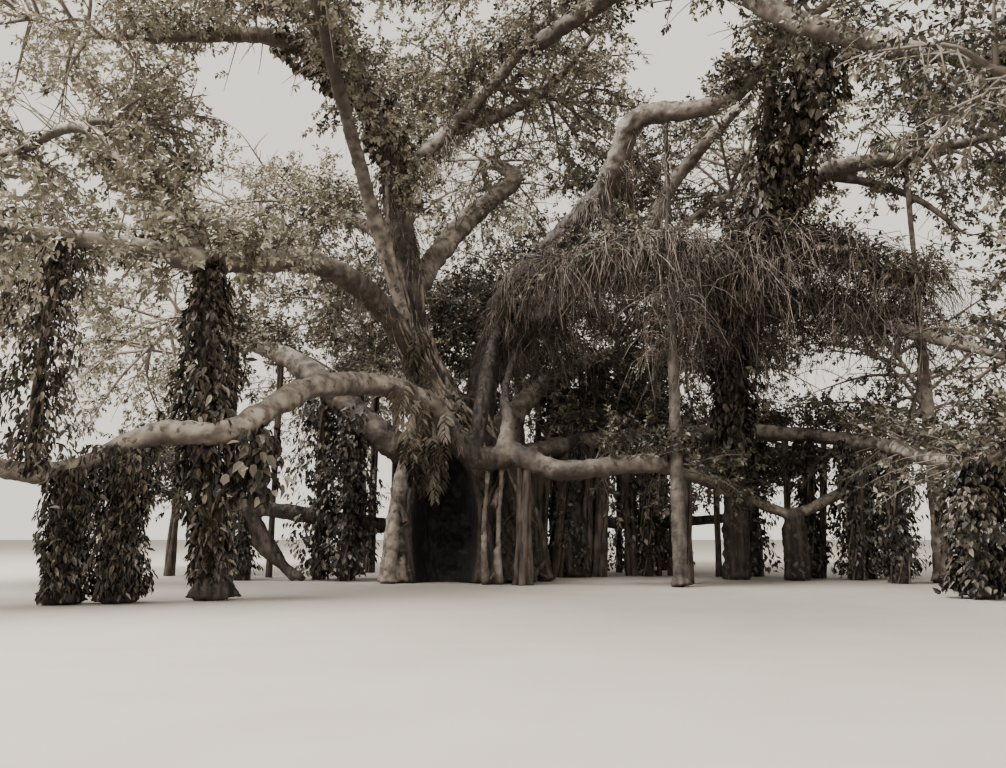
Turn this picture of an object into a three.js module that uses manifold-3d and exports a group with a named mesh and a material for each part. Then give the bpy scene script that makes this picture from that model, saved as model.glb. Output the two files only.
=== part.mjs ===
// An old banyan tree: a short fluted trunk, long level boughs, prop roots that
// stand under them, hanging air roots, leafy climbing sleeves and a wide crown.
// Millimetres, +Z up, origin on the flat cut under the trunk at ground level.
import * as THREE from 'three';
import { mergeVertices } from 'three/addons/utils/BufferGeometryUtils.js';
import Module from 'manifold-3d';

const wasm = await Module();
wasm.setup();

// Driving dimensions
const GAP = 0.35;
const LIMB_SIDES = 6;
const LIMB_STEPS = 6;
const BURIED = 300;
const GROUND_REACH = 30000;
const GROUND_DEPTH = 4000;
const TRUNK_CENTRE = [200, 200];
const TRUNK_HEIGHT = 5600;
const TRUNK_RADII = [2150, 1850, 1600, 1300, 800];
const FLUTE_COUNT = 7;
const FLUTE_RING = 1950;
const FLUTE_TOP_RING = 1150;
const FLUTE_RADII = [640, 420, 330, 240];
const LEAF = { length: 2850, width: 1900, thick: 110 };
const CLIMBER_LEAF = { length: 1050, width: 800, thick: 50 };
const TWIG_RADII = [100, 80, 50];
const TWIGS_PER_MASS = 5;
const SIDE_LEAVES = [0.36, 0.6, 0.84];
const LEAF_TRIES = 6;
const ROOT_SHARE = 0.15;
const SPACE_MARGIN = 0.025;
const LEAF_SINK = 300;
const STEM_SINK = 80;
const STRAND_RADIUS = 100;
const STRAND_STEPS = 6;
const VINE_RADIUS = 90;
const PROP_BEND = 0.2;

const PALE_BARK = new THREE.MeshStandardMaterial({ color: 0xa39688, roughness: 0.85, metalness: 0 });
const DARK_BARK = new THREE.MeshStandardMaterial({ color: 0x6f6256, roughness: 0.9, metalness: 0 });
const ROOT_FIBRE = new THREE.MeshStandardMaterial({ color: 0x8a7763, roughness: 0.9, metalness: 0 });
const FOLIAGE = new THREE.MeshStandardMaterial({ color: 0x6c7250, roughness: 0.7, metalness: 0 });
const CLIMBER_GREEN = new THREE.MeshStandardMaterial({ color: 0x4d5638, roughness: 0.6, metalness: 0 });

const UP = new THREE.Vector3(0, 0, 1);
const tree = new THREE.Group();
const placed = [];

// A repeatable stream of numbers from 0 to 1
function seeded(seed) {
  let state = seed >>> 0;
  return () => {
    state = (Math.imul(state, 1664525) + 1013904223) >>> 0;
    return state / 4294967296;
  };
}

function vector(point) {
  return new THREE.Vector3(...point);
}

function radiusAt(radii, t) {
  const place = t * (radii.length - 1);
  const index = Math.min(Math.floor(place), radii.length - 2);
  return THREE.MathUtils.lerp(radii[index], radii[index + 1], place - index);
}

function curveOf(route) {
  return new THREE.CatmullRomCurve3(route.map(vector));
}

function solidFrom(geometry) {
  return new wasm.Manifold(new wasm.Mesh({
    numProp: 3,
    vertProperties: new Float32Array(geometry.getAttribute('position').array),
    triVerts: new Uint32Array(geometry.getIndex().array),
  }));
}

function bare(geometry) {
  geometry.deleteAttribute('normal');
  geometry.deleteAttribute('uv');
  return mergeVertices(geometry);
}

// A round limb that tapers along a smooth route. Its radii are spaced evenly
// from foot to tip, and grow widens and lengthens it for a clear joint.
function limb({ route, radii, sides = LIMB_SIDES, steps = LIMB_STEPS, pointed = false }, grow = 0) {
  const curve = curveOf(route);
  const frames = curve.computeFrenetFrames(steps, false);
  const geometry = bare(new THREE.CylinderGeometry(pointed ? 0 : 1, 1, steps, sides, steps));
  const position = geometry.getAttribute('position');
  const point = new THREE.Vector3();
  for (let i = 0; i < position.count; i += 1) {
    point.fromBufferAttribute(position, i);
    const ring = Math.round(point.y + steps / 2);
    const radius = radiusAt(radii, ring / steps) + grow;
    const past = (ring === steps ? grow : 0) - (ring === 0 ? grow : 0);
    const bent = curve.getPointAt(ring / steps).addScaledVector(frames.tangents[ring], past);
    bent.addScaledVector(frames.normals[ring], point.x * radius);
    bent.addScaledVector(frames.binormals[ring], -point.z * radius);
    position.setXYZ(i, bent.x, bent.y, bent.z);
  }
  return solidFrom(geometry);
}

// A thin leaf-shaped blade with a straight rib from its root to its tip, and two
// side corners that stand off the rib's line by the blade's thickness
function blade(root, direction, facing, { length, width, thick }) {
  const geometry = bare(new THREE.TetrahedronGeometry(Math.sqrt(3)));
  const across = new THREE.Vector3().crossVectors(direction, facing).normalize();
  const through = new THREE.Vector3().crossVectors(across, direction).normalize();
  const middle = root.clone().addScaledVector(direction, length * 0.45);
  const position = geometry.getAttribute('position');
  const point = new THREE.Vector3();
  for (let i = 0; i < position.count; i += 1) {
    point.fromBufferAttribute(position, i);
    const forward = (point.x + point.y) / 2;
    const sideways = (point.y - point.x) / 2;
    const reach = forward > 0 ? length * 0.55 : length * 0.45;
    const moved = middle.clone().addScaledVector(direction, forward * reach);
    moved.addScaledVector(across, sideways * width / 2);
    moved.addScaledVector(through, (1 - point.z) * thick / 2);
    position.setXYZ(i, moved.x, moved.y, moved.z);
  }
  return solidFrom(geometry);
}

function boxesMeet(a, b) {
  return [0, 1, 2].every((axis) => a.min[axis] < b.max[axis] && b.min[axis] < a.max[axis]);
}

function neighboursOf(body) {
  const box = body.boundingBox();
  return placed.filter((other) => boxesMeet(box, other.box));
}

function touches(body) {
  return neighboursOf(body).some((other) => !body.intersect(other.grown).isEmpty());
}

function clearOfNeighbours(body) {
  return neighboursOf(body).reduce((rest, other) => rest.subtract(other.grown), body);
}

// The biggest whole piece of a cut body, with any sealed hollow filled
function largest(body) {
  return body.decompose().reduce((best, piece) => (piece.volume() > best.volume() ? piece : best));
}

// Nothing reaches below the level ground, so its block cuts every piece
const ground = solidFrom(bare(new THREE.BoxGeometry(2 * GROUND_REACH, 2 * GROUND_REACH, GROUND_DEPTH)
  .translate(0, 0, -GROUND_DEPTH / 2)));
placed.push({ grown: ground, box: ground.boundingBox() });

function place(name, body, grown, material) {
  const { vertProperties, triVerts } = body.getMesh();
  const geometry = new THREE.BufferGeometry();
  geometry.setAttribute('position', new THREE.BufferAttribute(vertProperties, 3));
  geometry.setIndex(new THREE.BufferAttribute(triVerts, 1));
  const mesh = new THREE.Mesh(geometry, material);
  mesh.name = name;
  tree.add(mesh);
  placed.push({ grown, box: grown.boundingBox() });
}

function placeLimb(name, shape, material) {
  place(name, largest(clearOfNeighbours(limb(shape))), limb(shape, GAP), material);
}

// Trunk: a leaning core with air roots grown into it as flutes
function fluteRoute(angle, topHeight) {
  const lean = -0.1 * topHeight;
  const foot = [
    TRUNK_CENTRE[0] + FLUTE_RING * Math.cos(angle),
    TRUNK_CENTRE[1] + FLUTE_RING * Math.sin(angle),
    -BURIED,
  ];
  const top = [
    TRUNK_CENTRE[0] + lean + FLUTE_TOP_RING * Math.cos(angle + 0.2),
    TRUNK_CENTRE[1] + FLUTE_TOP_RING * Math.sin(angle + 0.2),
    topHeight,
  ];
  const middle = [0, 1, 2].map((axis) => foot[axis] * 0.42 + top[axis] * 0.58);
  return [foot, middle, top];
}

function trunkShapes() {
  const random = seeded(11);
  const [x, y] = TRUNK_CENTRE;
  const core = {
    route: [[x, y, -BURIED], [x - 60, y, TRUNK_HEIGHT * 0.45], [x - 500, y - 50, TRUNK_HEIGHT]],
    radii: TRUNK_RADII,
    sides: 9,
    steps: 4,
  };
  const paleRoot = {
    route: [[-1900, -1350, -BURIED], [-1820, -1080, 2300], [-1350, -560, 4900]],
    radii: [430, 260, 240, 200],
    sides: 5,
    steps: 3,
  };
  const flutes = [];
  for (let i = 0; i < FLUTE_COUNT; i += 1) {
    const angle = ((i + 0.35 * random()) / FLUTE_COUNT) * 2 * Math.PI;
    const route = fluteRoute(angle, TRUNK_HEIGHT * (0.62 + 0.25 * random()));
    flutes.push({ route, radii: FLUTE_RADII, sides: 5, steps: 2 });
  }
  return [core, paleRoot, ...flutes];
}

function fused(shapes, grow = 0) {
  return shapes.map((shape) => limb(shape, grow)).reduce((whole, piece) => whole.add(piece));
}

const trunk = trunkShapes();
place('trunk', largest(clearOfNeighbours(fused(trunk))), fused(trunk, GAP), DARK_BARK);

// Boughs, each one tapering limb that starts inside the limb that bears it
const BOUGHS = {
  stem_right: {
    route: [[8600, 900, -BURIED], [8600, 500, 4800], [8700, 0, 8700], [9300, -1000, 11200],
      [9000, -3990, 14780]],
    radii: [420, 330, 290, 240, 150],
    steps: 8,
  },
  bough_top_left: {
    route: [[-300, 150, 4600], [-1500, 0, 7400], [-2050, 0, 11500], [-2700, -400, 14700],
      [-5100, -1500, 16700], [-9800, -2900, 16100]],
    radii: [620, 500, 420, 340, 260, 170],
    steps: 8,
  },
  bough_upper_left: {
    route: [[-700, 0, 4900], [-1700, -650, 7200], [-2700, -2100, 8400], [-3800, -4400, 8550],
      [-5200, -8100, 7400], [-7100, -9500, 7350], [-9800, -11200, 7200]],
    radii: [420, 370, 320, 280, 220, 160],
    steps: 8,
  },
  bough_low_left: {
    route: [[100, -700, 3300], [-500, -1900, 4800], [-1500, -2900, 5300], [-3300, -6000, 4900],
      [-4600, -8800, 3450], [-5700, -9250, 3400], [-7400, -9500, 2600], [-8700, -10100, 2700],
      [-10900, -11200, 4300]],
    radii: [330, 300, 280, 250, 200, 150],
    steps: 9,
  },
  bough_mid_left: {
    route: [[-900, 100, 3300], [-2600, -200, 4500], [-5400, 1500, 6900], [-9600, 4600, 9000]],
    radii: [480, 400, 320, 200],
  },
  bough_under_left: {
    route: [[-1000, 500, 1500], [-3700, 400, 1800], [-6100, 100, 2200], [-9200, 2500, 3000],
      [-11800, 5800, 5100]],
    radii: [260, 230, 190, 130],
    steps: 7,
  },
  bough_right_arch: {
    route: [[300, 300, 4000], [900, 900, 7200], [1400, 500, 8900], [3300, -400, 10800],
      [4600, -1200, 12200], [5400, -2000, 13900], [7700, -3000, 13900], [9600, -4600, 15400]],
    radii: [520, 440, 400, 360, 280, 180],
    steps: 9,
  },
  bough_right_slant: {
    route: [[900, 900, 6900], [4000, 2400, 9800], [6700, 2200, 11400], [9200, 2800, 13300]],
    radii: [330, 280, 230, 150],
  },
  bough_low_right: {
    route: [[400, -800, 3300], [1500, -1900, 3650], [2800, -2500, 3150], [5400, -2600, 3300],
      [7100, -1700, 2950], [8600, 700, 2800]],
    radii: [360, 300, 260, 220, 190],
    steps: 8,
  },
  bough_low_right_far: {
    route: [[1200, 900, 3700], [4600, 3000, 4600], [10400, 2700, 4800], [12500, -500, 4100],
      [12100, -5200, 3200], [11800, -7900, 2950], [12700, -10000, 3700]],
    radii: [330, 290, 250, 200, 140],
    steps: 10,
  },
  bough_back_left: {
    route: [[-500, 500, 4000], [-2000, 3000, 6400], [-3600, 6400, 7600], [-5400, 11200, 8100]],
    radii: [420, 340, 280, 180],
  },
  bough_back: {
    route: [[0, 700, 4000], [600, 3600, 6800], [1400, 7400, 8400], [2300, 12200, 8900]],
    radii: [420, 340, 280, 180],
  },
  bough_back_right: {
    route: [[500, 600, 3900], [3000, 3600, 6800], [6000, 6600, 8400], [8600, 9600, 8600]],
    radii: [420, 340, 280, 180],
  },
  bough_crown: {
    route: [[-2200, -50, 12900], [-900, 400, 14300], [0, 900, 15600], [1200, 600, 16800],
      [2600, 0, 18300]],
    radii: [270, 240, 210, 150],
    steps: 6,
  },
  bough_front: {
    route: [[-1750, -50, 8400], [-2500, -900, 10500], [-3400, -2300, 13700], [-3600, -5000, 15000],
      [-3200, -8800, 15400]],
    radii: [240, 220, 190, 140],
    steps: 7,
  },
  bough_crown_back: {
    route: [[-1800, 100, 8800], [-100, 2000, 12000], [1700, 3500, 14300], [1300, 4500, 15200],
      [800, 5900, 16000]],
    radii: [300, 260, 210, 140],
    steps: 7,
  },
  bough_crown_left: {
    route: [[-2000, 50, 10500], [-3600, 1700, 12000], [-6600, 5000, 13900]],
    radii: [280, 230, 150],
    steps: 5,
  },
  bough_crown_left_front: {
    route: [[-2450, -250, 14200], [-3400, -2200, 15400], [-4900, -4600, 16300]],
    radii: [230, 190, 130],
    steps: 5,
  },
  bough_riser_left: {
    route: [[-5400, -8250, 7350], [-6900, -7800, 9000], [-8800, -7300, 11000], [-11200, -5800, 11100]],
    radii: [200, 170, 120],
  },
  bough_right_level: {
    route: [[9000, -300, 9700], [10400, -500, 11400], [11300, -1100, 12500], [13800, -2000, 12700]],
    radii: [300, 270, 220, 170],
  },
  bough_right_droop: {
    route: [[8700, 200, 7600], [10800, 0, 8700], [12400, -1600, 7600], [14200, -4600, 6000]],
    radii: [270, 230, 190, 130],
  },
  bough_overhead_right: {
    route: [[2100, 200, 17500], [5300, -4000, 17200], [7000, -7200, 14800], [8200, -8500, 13000],
      [10800, -10800, 10700]],
    radii: [200, 220, 210, 130],
    steps: 8,
  },
  bough_right_loop: {
    route: [[8600, 650, 2800], [9600, 300, 2150], [10500, 400, 2050], [11400, 800, 2400],
      [12400, 1200, 2900], [14600, 2000, 4900]],
    radii: [160, 180, 200, 120],
    steps: 8,
  },
};

for (const [name, shape] of Object.entries(BOUGHS)) {
  placeLimb(name, shape, PALE_BARK);
}

// Prop roots, each from a flared foot on the ground up to the belly of a bough
const PROPS = {
  prop_1: { foot: [-7400, -9350], bough: 'bough_low_left', at: 0.75, radii: [420, 210, 180] },
  prop_2: { foot: [-6450, -9000], bough: 'bough_low_left', at: 0.69, radii: [420, 210, 180] },
  prop_3: { foot: [-4800, -8150], bough: 'bough_upper_left', at: 0.68, radii: [480, 240, 200, 180] },
  prop_4: { foot: [-4700, -100], bough: 'bough_under_left', at: 0.44, radii: [260, 190, 160] },
  prop_5: {
    foot: [6000, -3320], bough: 'bough_right_arch', at: 0.74, radii: [460, 220, 190, 170, 160, 150] },
  prop_6: { foot: [10250, 200], bough: 'bough_right_loop', at: 0.26, radii: [620, 420, 300] },
  prop_7: { foot: [14000, -1250], bough: 'bough_right_level', at: 0.96, radii: [380, 200, 170, 160, 150] },
  prop_8: { foot: [11500, -7800], bough: 'bough_low_right_far', at: 0.89, radii: [420, 210, 180] },
  prop_9: { foot: [3500, 2350], bough: 'bough_low_right_far', at: 0.13, radii: [520, 330, 280] },
  prop_10: { foot: [2050, 10500], bough: 'bough_back', at: 0.88, radii: [460, 280, 230, 200] },
  prop_11: { foot: [-4500, 9300], bough: 'bough_back_left', at: 0.85, radii: [460, 280, 230, 200] },
};

// A point on the true axis of a faceted limb, which runs straight between rings
function axisPoint({ route, steps = LIMB_STEPS }, t) {
  const curve = curveOf(route);
  const ring = Math.min(Math.floor(t * steps), steps - 1);
  return curve.getPointAt(ring / steps).lerp(curve.getPointAt((ring + 1) / steps), t * steps - ring);
}

// A prop leans towards its bough in an easy bend, with one step for each radius
function propShape({ foot, bough, at, radii }) {
  const top = axisPoint(BOUGHS[bough], at);
  const bottom = new THREE.Vector3(foot[0], foot[1], -BURIED);
  const middle = bottom.clone().lerp(top, 0.5);
  middle.x += (top.x - foot[0]) * PROP_BEND;
  middle.y += (top.y - foot[1]) * PROP_BEND;
  return { route: [bottom, middle, top].map((point) => point.toArray()), radii, steps: radii.length };
}

const propShapes = {};
for (const [name, prop] of Object.entries(PROPS)) {
  propShapes[name] = propShape(prop);
  placeLimb(name, propShapes[name], DARK_BARK);
}

// Air roots that hang in a curtain from a strand whose ends grow out of the
// belly of a bough, and which runs along just under it between them
function hangingRoots({ bough, from, to, count, length, seed }) {
  const random = seeded(seed);
  const curve = curveOf(bough.route);
  const below = (share) => {
    const t = THREE.MathUtils.lerp(from, to, share);
    const point = curve.getPointAt(t);
    const drop = share === 0 || share === 1 ? 0.7 : 1;
    point.z -= radiusAt(bough.radii, t) * drop + STRAND_RADIUS * (drop < 1 ? 0 : 1.6);
    return point.toArray();
  };
  const strand = [];
  for (let i = 0; i <= STRAND_STEPS; i += 1) {
    strand.push(below(i / STRAND_STEPS));
  }
  const strandShape = { route: strand, radii: [STRAND_RADIUS, STRAND_RADIUS], sides: 4, steps: STRAND_STEPS };
  const strandCurve = curveOf(strand);
  let body = clearOfNeighbours(limb(strandShape));
  for (let i = 0; i < count; i += 1) {
    const top = strandCurve.getPointAt((i + 0.9 + 0.4 * random()) / (count + 1.2));
    const reach = THREE.MathUtils.lerp(length[0], length[1], random());
    const sway = new THREE.Vector3((random() - 0.5) * 500, (random() - 0.5) * 700, -reach);
    const middle = top.clone().add(sway.clone().multiply(new THREE.Vector3(0.7, 0.7, 0.45)));
    const route = [top, middle, top.clone().add(sway)].map((point) => point.toArray());
    const root = limb({ route, radii: [85, 75, 0], sides: 3, steps: 2, pointed: true });
    if (!touches(root)) {
      body = body.add(root);
    }
  }
  return largest(body);
}

const CURTAINS = {
  hanging_roots_middle: {
    bough: BOUGHS.bough_right_slant, from: 0.2, to: 0.72, count: 7, length: [1900, 3600], seed: 5,
  },
  hanging_roots_right: {
    bough: BOUGHS.bough_right_droop, from: 0.16, to: 0.6, count: 6, length: [1300, 2400], seed: 8,
  },
};

for (const [name, shape] of Object.entries(CURTAINS)) {
  const body = hangingRoots(shape);
  place(name, body, body, ROOT_FIBRE);
}

// A climbing vine that winds up a limb, rooted in it at both ends, and carries
// broad drooping leaves
function climber({ host, from, to, turns, count, seed }) {
  const random = seeded(seed);
  const curve = curveOf(host.route);
  const steps = Math.round(turns * 5);
  const winding = (share) => {
    const t = THREE.MathUtils.lerp(from, to, share);
    const angle = share * turns * 2 * Math.PI;
    const outward = new THREE.Vector3(Math.cos(angle), Math.sin(angle), 0);
    const hostRadius = radiusAt(host.radii, t);
    const stand = share === 0 || share === 1 ? hostRadius * 0.7 : hostRadius * 1.25 + VINE_RADIUS;
    return { point: curve.getPointAt(t).addScaledVector(outward, stand), outward };
  };
  const route = [];
  for (let i = 0; i <= steps; i += 1) {
    route.push(winding(i / steps).point.toArray());
  }
  const vineCurve = curveOf(route);
  let body = clearOfNeighbours(limb({ route, radii: [VINE_RADIUS, VINE_RADIUS], sides: 3, steps }));
  for (let i = 0; i < count; i += 1) {
    const share = (i + 1) / (count + 1);
    const { outward } = winding(share);
    const root = vineCurve.getPointAt(share);
    const along = new THREE.Vector3().crossVectors(UP, outward);
    const direction = outward.clone().addScaledVector(along, (random() - 0.5) * 1.6);
    direction.addScaledVector(UP, -0.2 - 0.7 * random()).normalize();
    const leaf = blade(root, direction, outward.clone().add(UP), CLIMBER_LEAF);
    if (!touches(leaf)) {
      body = body.add(leaf);
    }
  }
  return largest(body);
}

const CLIMBERS = {
  climber_prop_1: { host: propShapes.prop_1, from: 0.16, to: 0.9, turns: 2, count: 13, seed: 21 },
  climber_prop_2: { host: propShapes.prop_2, from: 0.14, to: 0.9, turns: 2, count: 13, seed: 22 },
  climber_prop_3: { host: propShapes.prop_3, from: 0.1, to: 0.95, turns: 3, count: 19, seed: 23 },
  climber_prop_8: { host: propShapes.prop_8, from: 0.15, to: 0.88, turns: 2, count: 12, seed: 24 },
  climber_stem_right: { host: BOUGHS.stem_right, from: 0.24, to: 0.62, turns: 3, count: 18, seed: 25 },
};

for (const [name, shape] of Object.entries(CLIMBERS)) {
  const body = climber(shape);
  place(name, body, body, CLIMBER_GREEN);
}

// Masses of foliage, each keeping to its own egg-shaped space
const MASSES = {
  leaves_left_front: {
    bough: 'bough_low_left', centre: [-13200, -11800, 7600], radii: [4800, 4800, 4600] },
  leaves_left: { bough: 'bough_riser_left', centre: [-13400, -3400, 9400], radii: [4600, 5000, 2900] },
  leaves_left_high: { bough: 'bough_top_left', centre: [-12700, -3600, 16300], radii: [5000, 5400, 2900] },
  leaves_left_back: { bough: 'bough_mid_left', centre: [-13000, 7400, 8600], radii: [4900, 5200, 4400] },
  leaves_back_left: { bough: 'bough_back_left', centre: [-6600, 14200, 8400], radii: [5000, 4700, 4400] },
  leaves_back: { bough: 'bough_back', centre: [2800, 15000, 9000], radii: [5200, 4200, 4600] },
  leaves_back_right: { bough: 'bough_back_right', centre: [11200, 11800, 8600], radii: [5000, 5000, 4400] },
  leaves_right: { bough: 'bough_right_loop', centre: [15200, 3400, 7800], radii: [4300, 4900, 4000] },
  leaves_right_front: { bough: 'bough_right_droop', centre: [15000, -8400, 5800], radii: [4300, 5000, 3400] },
  leaves_right_high: { bough: 'bough_right_level', centre: [15600, -2800, 13400], radii: [3900, 4800, 2900] },
  leaves_front_right: {
    bough: 'bough_overhead_right', centre: [12200, -13400, 9900], radii: [4800, 4600, 3300] },
  leaves_front: { bough: 'bough_front', centre: [-2400, -12800, 14900], radii: [6500, 5800, 3300] },
  leaves_crown_left_front: {
    bough: 'bough_crown_left_front', centre: [-6400, -6600, 17700], radii: [4900, 4900, 2600] },
  leaves_crown_left: { bough: 'bough_crown_left', centre: [-8800, 7200, 14300], radii: [5400, 5200, 3300] },
  leaves_crown_back: { bough: 'bough_crown_back', centre: [600, 9400, 16200], radii: [5400, 5200, 3500] },
  leaves_crown_right: { bough: 'bough_right_slant', centre: [10400, 4600, 15400], radii: [5200, 5200, 3300] },
  leaves_crown_top: { bough: 'bough_crown', centre: [800, -200, 20500], radii: [6200, 6000, 2900] },
  leaves_crown_front: { bough: 'bough_right_arch', centre: [8200, -7600, 17200], radii: [5500, 5500, 2900] },
};

// How far a point lies from a mass's centre, as a share of its reach
function reachShare(mass, point) {
  return Math.hypot(...[0, 1, 2].map((axis) => (
    (point.getComponent(axis) - mass.centre[axis]) / mass.radii[axis])));
}

function inOwnSpace(mass, point) {
  const own = reachShare(mass, point);
  return own < 1 && Object.values(MASSES).every((other) => (
    other === mass || own + SPACE_MARGIN < reachShare(other, point)));
}

// Directions spread evenly over a ball, number by number
function evenDirection(index, count) {
  const height = 1 - (2 * (index + 0.5)) / count;
  const level = Math.sqrt(1 - height * height);
  const angle = index * Math.PI * (3 - Math.sqrt(5));
  return new THREE.Vector3(level * Math.cos(angle), level * Math.sin(angle), height);
}

// One mass: a stem from its bough's tip, bent twigs spread over its space, and
// leaves at each twig's tip and along its sides
function foliage(mass, seed) {
  const random = seeded(seed);
  const centre = vector(mass.centre);
  const bough = BOUGHS[mass.bough];
  const boughCurve = curveOf(bough.route);
  const tip = boughCurve.getPointAt(1);
  const tangent = boughCurve.getTangentAt(1);
  const toCentre = centre.distanceTo(tip);
  const bend = tip.clone().addScaledVector(tangent, toCentre * 0.4);
  const start = tip.clone().addScaledVector(tangent, -STEM_SINK);
  const stemRoute = [start.toArray(), bend.toArray(), centre.toArray()];
  const tipRadius = radiusAt(bough.radii, 1);
  const stem = { route: stemRoute, radii: [tipRadius * 0.85, tipRadius * 0.7, 90], sides: 4, steps: 3 };
  const stemCurve = curveOf(stemRoute);
  const growth = centre.clone().sub(tip).normalize();
  let body = clearOfNeighbours(limb(stem));

  // The first of a few headings that keeps a leaf in its space and off the limbs
  const addLeaf = (root, heading) => {
    for (let tries = 0; tries < LEAF_TRIES; tries += 1) {
      const direction = heading();
      const facing = UP.clone().addScaledVector(direction, -UP.dot(direction)).normalize();
      facing.applyAxisAngle(direction, (random() - 0.5) * 2.2);
      const across = new THREE.Vector3().crossVectors(direction, facing).normalize();
      const tipPoint = root.clone().addScaledVector(direction, LEAF.length);
      const middle = root.clone().addScaledVector(direction, LEAF.length * 0.45);
      const edges = [-0.5, 0.5].map((side) => middle.clone().addScaledVector(across, side * LEAF.width));
      if ([tipPoint, ...edges].every((point) => inOwnSpace(mass, point))) {
        const leaf = blade(root, direction, facing, LEAF);
        const beyondRoot = blade(
          root.clone().addScaledVector(direction, LEAF.length * ROOT_SHARE), direction, facing,
          { ...LEAF, length: LEAF.length * (1 - ROOT_SHARE) });
        if (!touches(leaf) && body.intersect(beyondRoot).isEmpty()) {
          body = body.add(leaf);
          return;
        }
      }
    }
  };

  for (let i = 0; i < TWIGS_PER_MASS; i += 1) {
    const outward = evenDirection(i, TWIGS_PER_MASS);
    const spread = vector(mass.radii).multiply(outward);
    const end = centre.clone().addScaledVector(spread, 1 - (LEAF.length * 0.9) / spread.length());
    const forward = end.clone().sub(tip).dot(growth) / toCentre;
    const from = stemCurve.getPointAt(THREE.MathUtils.clamp(forward * 0.7, 0.3, 0.97));
    const arch = from.clone().lerp(end, 0.5);
    arch.z += 0.1 * from.distanceTo(end);
    const route = [from.toArray(), arch.toArray(), end.toArray()];
    const twig = limb({ route, radii: TWIG_RADII, sides: 3, steps: 2 });
    if (!inOwnSpace(mass, end) || !inOwnSpace(mass, arch) || touches(twig)) {
      continue;
    }
    body = body.add(twig);
    const twigCurve = curveOf(route);
    const outermost = spread.clone().normalize();
    const lean = () => new THREE.Vector3(random() - 0.5, random() - 0.5, random() - 0.5);
    addLeaf(end.clone().addScaledVector(twigCurve.getTangentAt(1), -LEAF_SINK), () => (
      outermost.clone().addScaledVector(lean(), 0.5).normalize()));
    SIDE_LEAVES.forEach((t, order) => {
      const along = twigCurve.getTangentAt(t);
      const side = new THREE.Vector3().crossVectors(along, UP).normalize();
      const hand = order % 2 === 0 ? 1 : -1;
      addLeaf(twigCurve.getPointAt(t), () => (
        along.clone().multiplyScalar(random()).addScaledVector(side, hand * (0.4 + random()))
          .addScaledVector(UP, (random() - 0.5) * 2).normalize()));
    });
  }
  return largest(body);
}

Object.entries(MASSES).forEach(([name, mass], index) => {
  const body = foliage(mass, 100 + index);
  place(name, body, body, FOLIAGE);
});

export default tree;
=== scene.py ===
# An old banyan tree with its props, climbing plants and hanging roots. Metres, +Z up,
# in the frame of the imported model.
import math

import bpy
import numpy as np
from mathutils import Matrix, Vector
from mathutils.bvhtree import BVHTree
from mathutils.kdtree import KDTree


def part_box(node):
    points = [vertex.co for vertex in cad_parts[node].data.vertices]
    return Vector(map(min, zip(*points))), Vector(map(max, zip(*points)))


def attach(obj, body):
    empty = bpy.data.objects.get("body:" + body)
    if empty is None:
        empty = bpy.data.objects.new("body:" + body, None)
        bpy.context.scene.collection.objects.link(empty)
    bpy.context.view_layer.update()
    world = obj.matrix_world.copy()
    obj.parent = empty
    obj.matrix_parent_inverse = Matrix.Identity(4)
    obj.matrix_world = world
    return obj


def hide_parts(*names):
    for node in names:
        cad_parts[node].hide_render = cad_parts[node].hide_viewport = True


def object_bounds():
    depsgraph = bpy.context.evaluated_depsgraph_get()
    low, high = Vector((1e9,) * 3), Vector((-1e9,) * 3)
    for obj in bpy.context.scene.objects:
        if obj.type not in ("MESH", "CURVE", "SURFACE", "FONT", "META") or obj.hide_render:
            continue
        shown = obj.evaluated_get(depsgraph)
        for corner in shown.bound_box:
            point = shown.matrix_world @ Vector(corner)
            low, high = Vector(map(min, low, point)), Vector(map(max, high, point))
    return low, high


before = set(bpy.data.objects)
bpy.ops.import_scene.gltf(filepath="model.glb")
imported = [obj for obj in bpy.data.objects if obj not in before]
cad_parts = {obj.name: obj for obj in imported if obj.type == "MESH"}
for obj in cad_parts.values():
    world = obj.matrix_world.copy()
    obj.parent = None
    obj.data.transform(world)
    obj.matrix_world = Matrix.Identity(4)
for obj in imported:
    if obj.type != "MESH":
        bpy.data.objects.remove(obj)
solid_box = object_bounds()

# Camera: an eye-level view from the open ground before the tree, tilted a little up,
# as wide as the photo. The lens is worked out from the photo's horizon and width.
PICTURE_WIDTH, PICTURE_HEIGHT = 1006, 768
FOCAL_PIXELS = 875
SENSOR_WIDTH = 36
EYE = np.array([1.3, -27.0, 1.3])
TILT = math.radians(9.92)

camera_data = bpy.data.cameras.new("camera")
camera_data.sensor_width = SENSOR_WIDTH
camera_data.lens = SENSOR_WIDTH * FOCAL_PIXELS / PICTURE_WIDTH
camera = bpy.data.objects.new("camera", camera_data)
camera.location = EYE
camera.rotation_euler = (math.pi / 2 + TILT, 0, 0)
bpy.context.scene.collection.objects.link(camera)
bpy.context.scene.camera = camera


# Trunk and limbs: living wood under smooth grey bark, grown together where they meet.
# Each limb bends along one curve through its waypoints, from its foot or fork to its
# tip, and has its radii evenly spaced along it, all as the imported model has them.
TRUNK_CENTRE = (0.2, 0.2)
TRUNK_HEIGHT = 5.6
TRUNK_LEAN = 0.1
TRUNK_CORE = ([(0.2, 0.2, 0.0), (0.14, 0.2, 2.52), (-0.3, 0.15, 5.6)], [2.05, 1.8, 1.55, 1.3, 0.8])
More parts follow.
